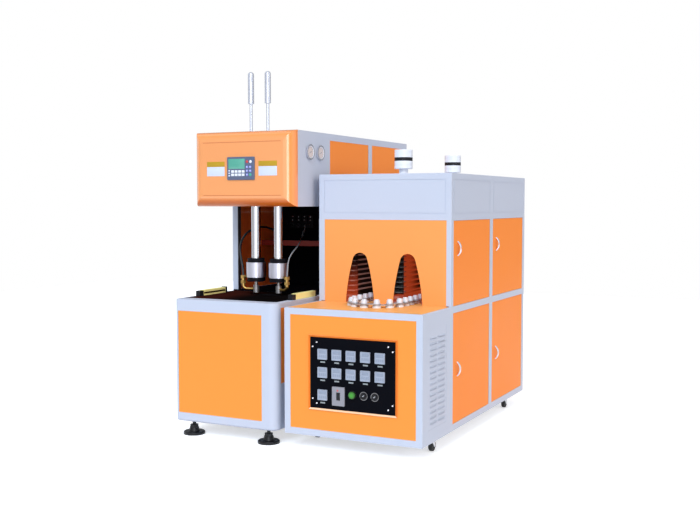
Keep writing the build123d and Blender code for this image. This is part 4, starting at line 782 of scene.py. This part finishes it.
def panel_screws():
    """Two screws near each corner of the control panel."""
    lo, hi = corners("control_panel")
    panel_face = lo.y + 0.003
    head = [(0.0052, -0.0005), (0.0052, 0.0014), (0.0042, 0.0026), (0.002, 0.0031)]
    socket = [(0.0018, 0.0018), (0, 0.0018)]
    bm = bmesh.new()
    for inset_x, inset_z in ((0.042, 0.028), (0.016, 0.054)):
        for x in (lo.x + inset_x, hi.x - inset_x):
            for z in (lo.z + inset_z, hi.z - inset_z):
                turned(bm, head + socket, (x, panel_face, z), forward, 24)
    piece("panel_screws", bm, chrome)


def switch_details():
    """A ring round the button and each knob, and a pointer on each knob."""
    ring_face = corners("control_panel")[0].y
    ring_profile = [(0.0243, 0.0032), (0.0243, -0.0003), (0.0236, -0.0012)]
    ring_profile += [(0.0212, -0.0012), (0.0206, 0.0002)]
    rings = {"start_button": black_plastic, "knob_left": switch_metal, "knob_right": switch_metal}
    for name, look in rings.items():
        centre = middle(name)
        bm = bmesh.new()
        turned(bm, ring_profile, (centre.x, ring_face, centre.z), backward, 48)
        piece(f"switch_ring_{name}", bm, look)

    pointer_angle, pointer_length, half_width = math.radians(35), 0.013, 0.0011
    lift, root = Vector((0, -0.0001, 0)), Vector((0, 0.0005, 0))
    along = Vector((math.cos(pointer_angle), 0, math.sin(pointer_angle)))
    side = Vector((-along.z, 0, along.x)) * half_width
    for name, body in (("knob_left", "left_knob"), ("knob_right", "right_knob")):
        near = middle(name)
        near.y = corners(name)[0].y
        far = near + along * pointer_length
        outline = (near - side, near + side, far + side, far - side)
        bm = bmesh.new()
        lifted = [bm.verts.new(point + lift) for point in outline]
        sunk = [bm.verts.new(point + root) for point in outline]
        bm.faces.new(lifted)
        for step in range(4):
            after = (step + 1) % 4
            bm.faces.new((lifted[step], lifted[after], sunk[after], sunk[step]))
        piece(f"{name}_pointer", bm, white_enamel, body)


def breaker_lamp():
    """The small red lamp above the main breaker's rocker."""
    face = corners("breaker_body")[0].y
    rocker_top = corners("breaker_rocker")[1].z
    centre = (middle("breaker_rocker").x - 0.004, face, rocker_top + 0.012)
    profile = [(0.0045, -0.0005), (0.0045, 0.0008), (0.0035, 0.0016), (0, 0.0018)]
    bm = bmesh.new()
    turned(bm, profile, centre, forward, 20)
    piece("breaker_lamp", bm, red_key)


def panel_trim():
    """A chamfered strip round the control panel, on the orange front panel, in four mitred
    lengths. Its deeper orange is painted shade, and the pale colour on its upward slope is a
    painted highlight."""
    lo, hi = corners("control_panel")
    face = corners("heater_front_panel")[0].y
    width, proud, sunk, inner_gap, inner_proud = 0.0105, 0.004, 0.0005, 0.0005, 0.0003
    look = paint("trim_paint", trim_shade_colour)
    tree = look.node_tree
    # Painted highlight on the trim's faces that look up
    base_mix(look, trim_highlight_colour, ramp(tree, facing_axis(tree, "Z"), 0.15, 0.3))
    section = ((width, sunk), (width, -proud), (inner_gap, -inner_proud), (inner_gap, sunk))
    rings = []
    for grow, depth in section:
        left, right, low, high = lo.x - grow, hi.x + grow, lo.z - grow, hi.z + grow
        spots = ((left, low), (right, low), (right, high), (left, high))
        rings.append([(x, face + depth, z) for x, z in spots])
    bm = bmesh.new()
    for side in range(4):
        start = [bm.verts.new(ring[side]) for ring in rings]
        end = [bm.verts.new(ring[(side + 1) % 4]) for ring in rings]
        for step in range(4):
            after = (step + 1) % 4
            bm.faces.new((start[step], end[step], end[after], start[after]))
        bm.faces.new(start)
        bm.faces.new(end)
    piece("panel_trim", bm, look)


# ---------------------------------------------------------------- exhausts, doors, light curtains


def exhaust_bands():
    """A black rubber band in the slot of each exhaust."""
    lo, hi = corners("exhaust_pipes")
    radius = (hi.x - lo.x) / 2
    root, edge = radius - 0.003, radius - 0.0002
    profile = [(root, 0.085), (edge, 0.0856), (edge, 0.1064), (root, 0.107)]
    for label, centre_y in (("front", lo.y + radius), ("rear", hi.y - radius)):
        bm = bmesh.new()
        turned(bm, profile, ((lo.x + hi.x) / 2, centre_y, lo.z), upward, 64)
        piece(f"exhaust_band_{label}", bm, black_plastic)


def door_pulls():
    """Chrome over the bowed pull of each door: an oval bar along an arc."""
    wall = corners("heater_frame")[1].x
    length, width, bar, skin, root = 0.081, 0.017, 0.009, 0.0002, 0.0005
    door_gap, pull_inset = 0.0015, 0.072
    pull_heights = {"lower": 0.441, "upper": 1.148}
    half_steps, around_steps = 12, 20
    for row in ("lower", "upper"):
        for column in ("front", "rear"):
            lo, hi = corners(f"door_{row}_{column}")
            centre_y = lo.y - door_gap + pull_inset
            foot, reach = wall - root, hi.x - skin - bar / 2
            sagitta = reach - foot
            radius = ((length / 2) ** 2 + sagitta**2) / (2 * sagitta)
            half_angle = math.asin(length / 2 / radius)
            arc_centre = Vector((reach - radius, centre_y, pull_heights[row]))
            bm = bmesh.new()
            rings = []
            for step in range(2 * half_steps + 1):
                angle = half_angle * (step / half_steps - 1)
                out = Vector((math.cos(angle), 0, math.sin(angle)))
                centre = arc_centre + out * radius
                ring = []
                for turn in range(around_steps):
                    around = 2 * math.pi * turn / around_steps
                    side = Vector((0, (width / 2 + skin) * math.cos(around), 0))
                    proud = out * (bar / 2 + skin) * math.sin(around)
                    ring.append(bm.verts.new(centre + side + proud))
                rings.append(ring)
            for before, after in zip(rings, rings[1:]):
                for turn in range(around_steps):
                    next_turn = (turn + 1) % around_steps
                    bm.faces.new((before[turn], before[next_turn], after[next_turn], after[turn]))
            bm.faces.new(rings[0])
            bm.faces.new(rings[-1])
            piece(f"door_pull_{row}_{column}", bm, sleeve_metal, f"{row}_{column}_door")


def upright_sheet(name, look, xs, ys, zs, bevel):
    """A thin piece that faces left or right, between two places on each axis."""
    bm = bmesh.new()
    slab(bm, (min(xs), ys[0], zs[0]), (max(xs), ys[1], zs[1]), bevel)
    piece(name, bm, look)


def curtain_lenses():
    """The dark lens strip along the inner face of each light curtain."""
    lo, hi = corners("light_curtain_bars")
    width, length, inset, root, proud = 0.03, 0.245, 0.004, 0.001, 0.0008
    zs = (lo.z + 0.012, lo.z + 0.023)
    bars = (("left", lo.x + width, 1, lo.y), ("right", hi.x - width, -1, hi.y - length))
    for label, inner, inward, front in bars:
        xs = (inner - inward * root, inner + inward * proud)
        ys = (front + inset, front + length - inset)
        upright_sheet(f"curtain_lens_{label}", lens_dark, xs, ys, zs, 0.0004)


def louvre_backing():
    """A pale filter sheet close behind each louvred panel."""
    lo, hi = corners("louvre_panels")
    hood_depth, panel_sheet, gap, sheet, inset = 0.009, 0.003, 0.0012, 0.0008, 0.012
    back = hood_depth + panel_sheet
    ys, zs = (lo.y + inset, hi.y - inset), (lo.z + inset, hi.z - inset)
    for label, inner, inward in (("right", hi.x - back, -1), ("left", lo.x + back, 1)):
        xs = (inner + inward * gap, inner + inward * (gap + sheet))
        upright_sheet(f"louvre_backing_{label}", frame_paint, xs, ys, zs, 0.0002)


def deck_seal():
    """The black rubber strip along the cabinet's foot, where the deck meets it."""
    body_lo, body_hi = corners("upper_body")
    deck_top = corners("mould_deck")[1].z
    bulkhead_face = corners("bulkhead")[0].y
    wall, sheet, height, gap_y, gap_z = 0.0045, 0.0022, 0.0082, 0.0002, 0.0003
    near = (body_lo.x + wall, bulkhead_face - sheet, deck_top + gap_z)
    far = (body_hi.x - wall, bulkhead_face - gap_y, deck_top + height)
    bm = bmesh.new()
    slab(bm, near, far, 0.0004)
    piece("deck_seal", bm, liner_black)


# ---------------------------------------------------------------- valves and air hoses


def valve_spots():
    """Each valve's x, and the height of the port on all of them."""
    lo = corners("valve_bar")[0]
    return [lo.x + (step + 0.5) * valve_pitch for step in range(valve_count)], lo.z + valve_height


def valve_fittings():
    """Push-in fittings and small screws on the valves."""
    lo = corners("valve_bar")[0]
    fitting_y, screw_y, screw_heights = lo.y + 0.0085, lo.y + 0.012, (0.056, 0.08)
    fitting = [(0.0105, 0.0), (0.0105, 0.006), (0.009, 0.008), (0.009, 0.0085)]
    screw = [(0.0055, -0.001), (0.0055, 0.005), (0.004, 0.0065), (0, 0.007)]
    valve_x, valve_z = valve_spots()
    bm = bmesh.new()
    for x in valve_x:
        turned(bm, fitting, (x, fitting_y, valve_z), forward, 24)
        for height in screw_heights:
            turned(bm, screw, (x, screw_y, lo.z + height), forward, 16)
    piece("valve_fittings", bm, switch_metal)


def hose(name, route, diameter, look):
    """A hose from a brass elbow to the valve bar, on one smooth line."""
    curve = bpy.data.curves.new(name, "CURVE")
    curve.dimensions = "3D"
    curve.resolution_u = 6
    spline = curve.splines.new("NURBS")
    spline.points.add(len(route) - 1)
    for point, place in zip(spline.points, route):
        point.co = (*place, 1)
    spline.order_u = 3
    spline.use_endpoint_u = True
    line = add_object(name + "_line", curve)
    path_mesh = bpy.data.meshes.new_from_object(line)
    curve.bevel_depth = diameter / 2
    curve.bevel_resolution = 4
    curve.use_fill_caps = True
    bpy.context.view_layer.update()
    tube = bpy.data.meshes.new_from_object(line)
    bpy.data.objects.remove(line)
    for polygon in tube.polygons:
        polygon.use_smooth = True
    tube.materials.clear()
    tube.materials.append(look)
    obj = add_object(name, tube)
    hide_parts(name)
    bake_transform(obj)


def hose_routes():
    """The points of both hoses, as the model has them."""
    head_lo, head_hi = corners("seal_cylinders")
    elbow_top = corners("air_elbows")[1].z
    bar_front = corners("valve_bar")[0].y
    head_radius, elbow_reach = 0.063, 0.078
    start_y, start_z = (head_lo.y + head_hi.y) / 2 - 0.03, elbow_top + 0.001
    left = head_lo.x + head_radius - elbow_reach
    right = head_hi.x - head_radius + elbow_reach
    valve_x, valve_z = valve_spots()
    first_valve, last_valve = valve_x[0], valve_x[-1]
    left_route = [
        (left, start_y, start_z),
        (left - 0.005, start_y + 0.002, elbow_top + 0.062),
        (left - 0.032, start_y + 0.016, elbow_top + 0.13),
        (left - 0.052, start_y + 0.046, elbow_top + 0.2),
        (left - 0.044, start_y + 0.096, elbow_top + 0.262),
        (left - 0.018, start_y + 0.17, elbow_top + 0.297),
        (left - 0.002, start_y + 0.262, elbow_top + 0.306),
        (left - 0.008, start_y + 0.362, elbow_top + 0.286),
        (left - 0.022, start_y + 0.468, elbow_top + 0.268),
        (left - 0.03, start_y + 0.57, valve_z + 0.034),
        (first_valve + 0.006, start_y + 0.66, valve_z + 0.008),
        (first_valve, bar_front - 0.042, valve_z),
        (first_valve, bar_front, valve_z),
    ]
    right_route = [
        (right, start_y, start_z),
        (right + 0.003, start_y + 0.003, elbow_top + 0.04),
        (right - 0.002, start_y + 0.016, elbow_top + 0.084),
        (right - 0.004, start_y + 0.044, elbow_top + 0.126),
        (right + 0.002, start_y + 0.086, elbow_top + 0.16),
        (right - 0.006, start_y + 0.142, elbow_top + 0.182),
        (right - 0.034, start_y + 0.216, elbow_top + 0.196),
        (right - 0.074, start_y + 0.3, elbow_top + 0.206),
        (right - 0.122, start_y + 0.392, elbow_top + 0.216),
        (right - 0.168, start_y + 0.49, elbow_top + 0.226),
        (right - 0.18, start_y + 0.536, elbow_top + 0.262),
        (right - 0.195, start_y + 0.594, valve_z - 0.008),
        (last_valve + 0.017, start_y + 0.646, valve_z + 0.007),
        (last_valve + 0.001, bar_front - 0.065, valve_z + 0.003),
        (last_valve, bar_front - 0.03, valve_z),
        (last_valve, bar_front, valve_z),
    ]
    return left_route, right_route


# ---------------------------------------------------------------- camera, light and floor


def camera():
    """The photograph's camera."""
    data = bpy.data.cameras.new("camera")
    data.sensor_width = sensor_width
    data.lens = sensor_width * camera_focal / photo_width
    data.clip_end = 100.0
    obj = add_object("camera", data)
    obj.location = camera_place
    obj.rotation_euler = (math.pi / 2 + camera_pitch, 0, camera_yaw)
    bpy.context.scene.camera = obj


def sun(name, direction, strength, colour, width):
    """A broad distant lamp that shines from the given direction."""
    data = bpy.data.lights.new(name, "SUN")
    data.energy = strength
    data.color = colour
    data.angle = math.radians(width)
    obj = add_object(name, data)
    obj.rotation_euler = Vector(direction).to_track_quat("Z", "Y").to_euler()
    obj.visible_glossy = False


def seen_by(tree, rays, lit, shown):
    """Mixes two shaders: the named kinds of ray meet the shown one, all others the lit one."""
    path = tree.nodes.new("ShaderNodeLightPath")
    kinds = [path.outputs[ray] for ray in rays]
    chosen = kinds[0]
    for kind in kinds[1:]:
        chosen = maths(tree, "MAXIMUM", chosen, kind)
    mix = tree.nodes.new("ShaderNodeMixShader")
    tree.links.new(chosen, mix.inputs["Fac"])
    tree.links.new(lit, mix.inputs[1])
    tree.links.new(shown, mix.inputs[2])
    return mix.outputs[0]


def studio_card(tree, toward, azimuth, half_width, edge, strength):
    """What one softbox adds, or one grey card takes, by the level direction of the ray that
    meets it."""
    azimuth = math.radians(azimuth)
    facing = vector_maths(tree, "DOT_PRODUCT", toward, (math.cos(azimuth), math.sin(azimuth), 0))
    outer, inner = math.cos(math.radians(half_width + edge)), math.cos(math.radians(half_width))
    return ramp(tree, facing, outer, inner, strength)


def world():
    """An even pale sky that shows as white. Reflections see the same white, with grey cards
    and a softbox in it."""
    scene_world = bpy.data.worlds.new("studio")
    scene_world.use_nodes = True
    bpy.context.scene.world = scene_world
    tree = scene_world.node_tree
    lit = tree.nodes["Background"]
    lit.inputs["Color"].default_value = (*sky_colour, 1)
    lit.inputs["Strength"].default_value = sky_light
    shown = tree.nodes.new("ShaderNodeBackground")
    shown.inputs["Color"].default_value = (1, 1, 1, 1)
    level = vector_maths(tree, "MULTIPLY", coordinate(tree, "Generated"), (1, 1, 0))
    toward = vector_maths(tree, "NORMALIZE", level)
    strength = 1.0
    for card in grey_cards + softboxes:
        strength = maths(tree, "ADD", strength, studio_card(tree, toward, *card))
    studio = tree.nodes.new("ShaderNodeBackground")
    studio.inputs["Color"].default_value = (*studio_colour, 1)
    tree.links.new(strength, studio.inputs["Strength"])
    out = seen_by(tree, ("Is Glossy Ray",), lit.outputs[0], studio.outputs[0])
    out = seen_by(tree, ("Is Camera Ray", "Is Transmission Ray"), out, shown.outputs[0])
    tree.links.new(out, tree.nodes["World Output"].inputs["Surface"])


def floor():
    """A pale floor that keeps the object's shadow."""
    reach = floor_reach
    bm = bmesh.new()
    flat_face(bm, ((-reach, -reach, 0), (reach, -reach, 0), (reach, reach, 0), (-reach, reach, 0)))
    mesh = bpy.data.meshes.new("floor")
    bm.to_mesh(mesh)
    bm.free()
    material = bpy.data.materials.new("floor_paint")
    material.use_nodes = True
    tree = material.node_tree
    shader = tree.nodes["Principled BSDF"]
    shader.inputs["Base Color"].default_value = (*floor_colour, 1)
    shader.inputs["Roughness"].default_value = 0.9
    shader.inputs["Specular IOR Level"].default_value = 0.0
    glow = tree.nodes.new("ShaderNodeEmission")
    glow.inputs["Strength"].default_value = floor_glow
    both = tree.nodes.new("ShaderNodeAddShader")
    tree.links.new(shader.outputs[0], both.inputs[0])
    tree.links.new(glow.outputs[0], both.inputs[1])
    rays = ("Is Camera Ray", "Is Glossy Ray", "Is Transmission Ray")
    out = seen_by(tree, rays, shader.outputs[0], both.outputs[0])
    tree.links.new(out, tree.nodes["Material Output"].inputs["Surface"])
    mesh.materials.append(material)
    obj = add_object("floor", mesh)


camera()
world()
floor()
for sun_name, settings in suns.items():
    sun(sun_name, *settings)
bpy.context.scene.view_settings.view_transform = "Standard"

cabinet_finishes()
cover_finish()
button_finish()
oven_finishes()
dress_frame()

display()
blank_plates()
gauges()
meter_details()
panel_screws()
switch_details()
breaker_lamp()
panel_trim()
exhaust_bands()
door_pulls()
curtain_lenses()
louvre_backing()
deck_seal()
valve_fittings()
left_route, right_route = hose_routes()
hose("air_hose_left", left_route, 0.013, hose_black)
hose("air_hose_right", right_route, 0.008, hose_clear)
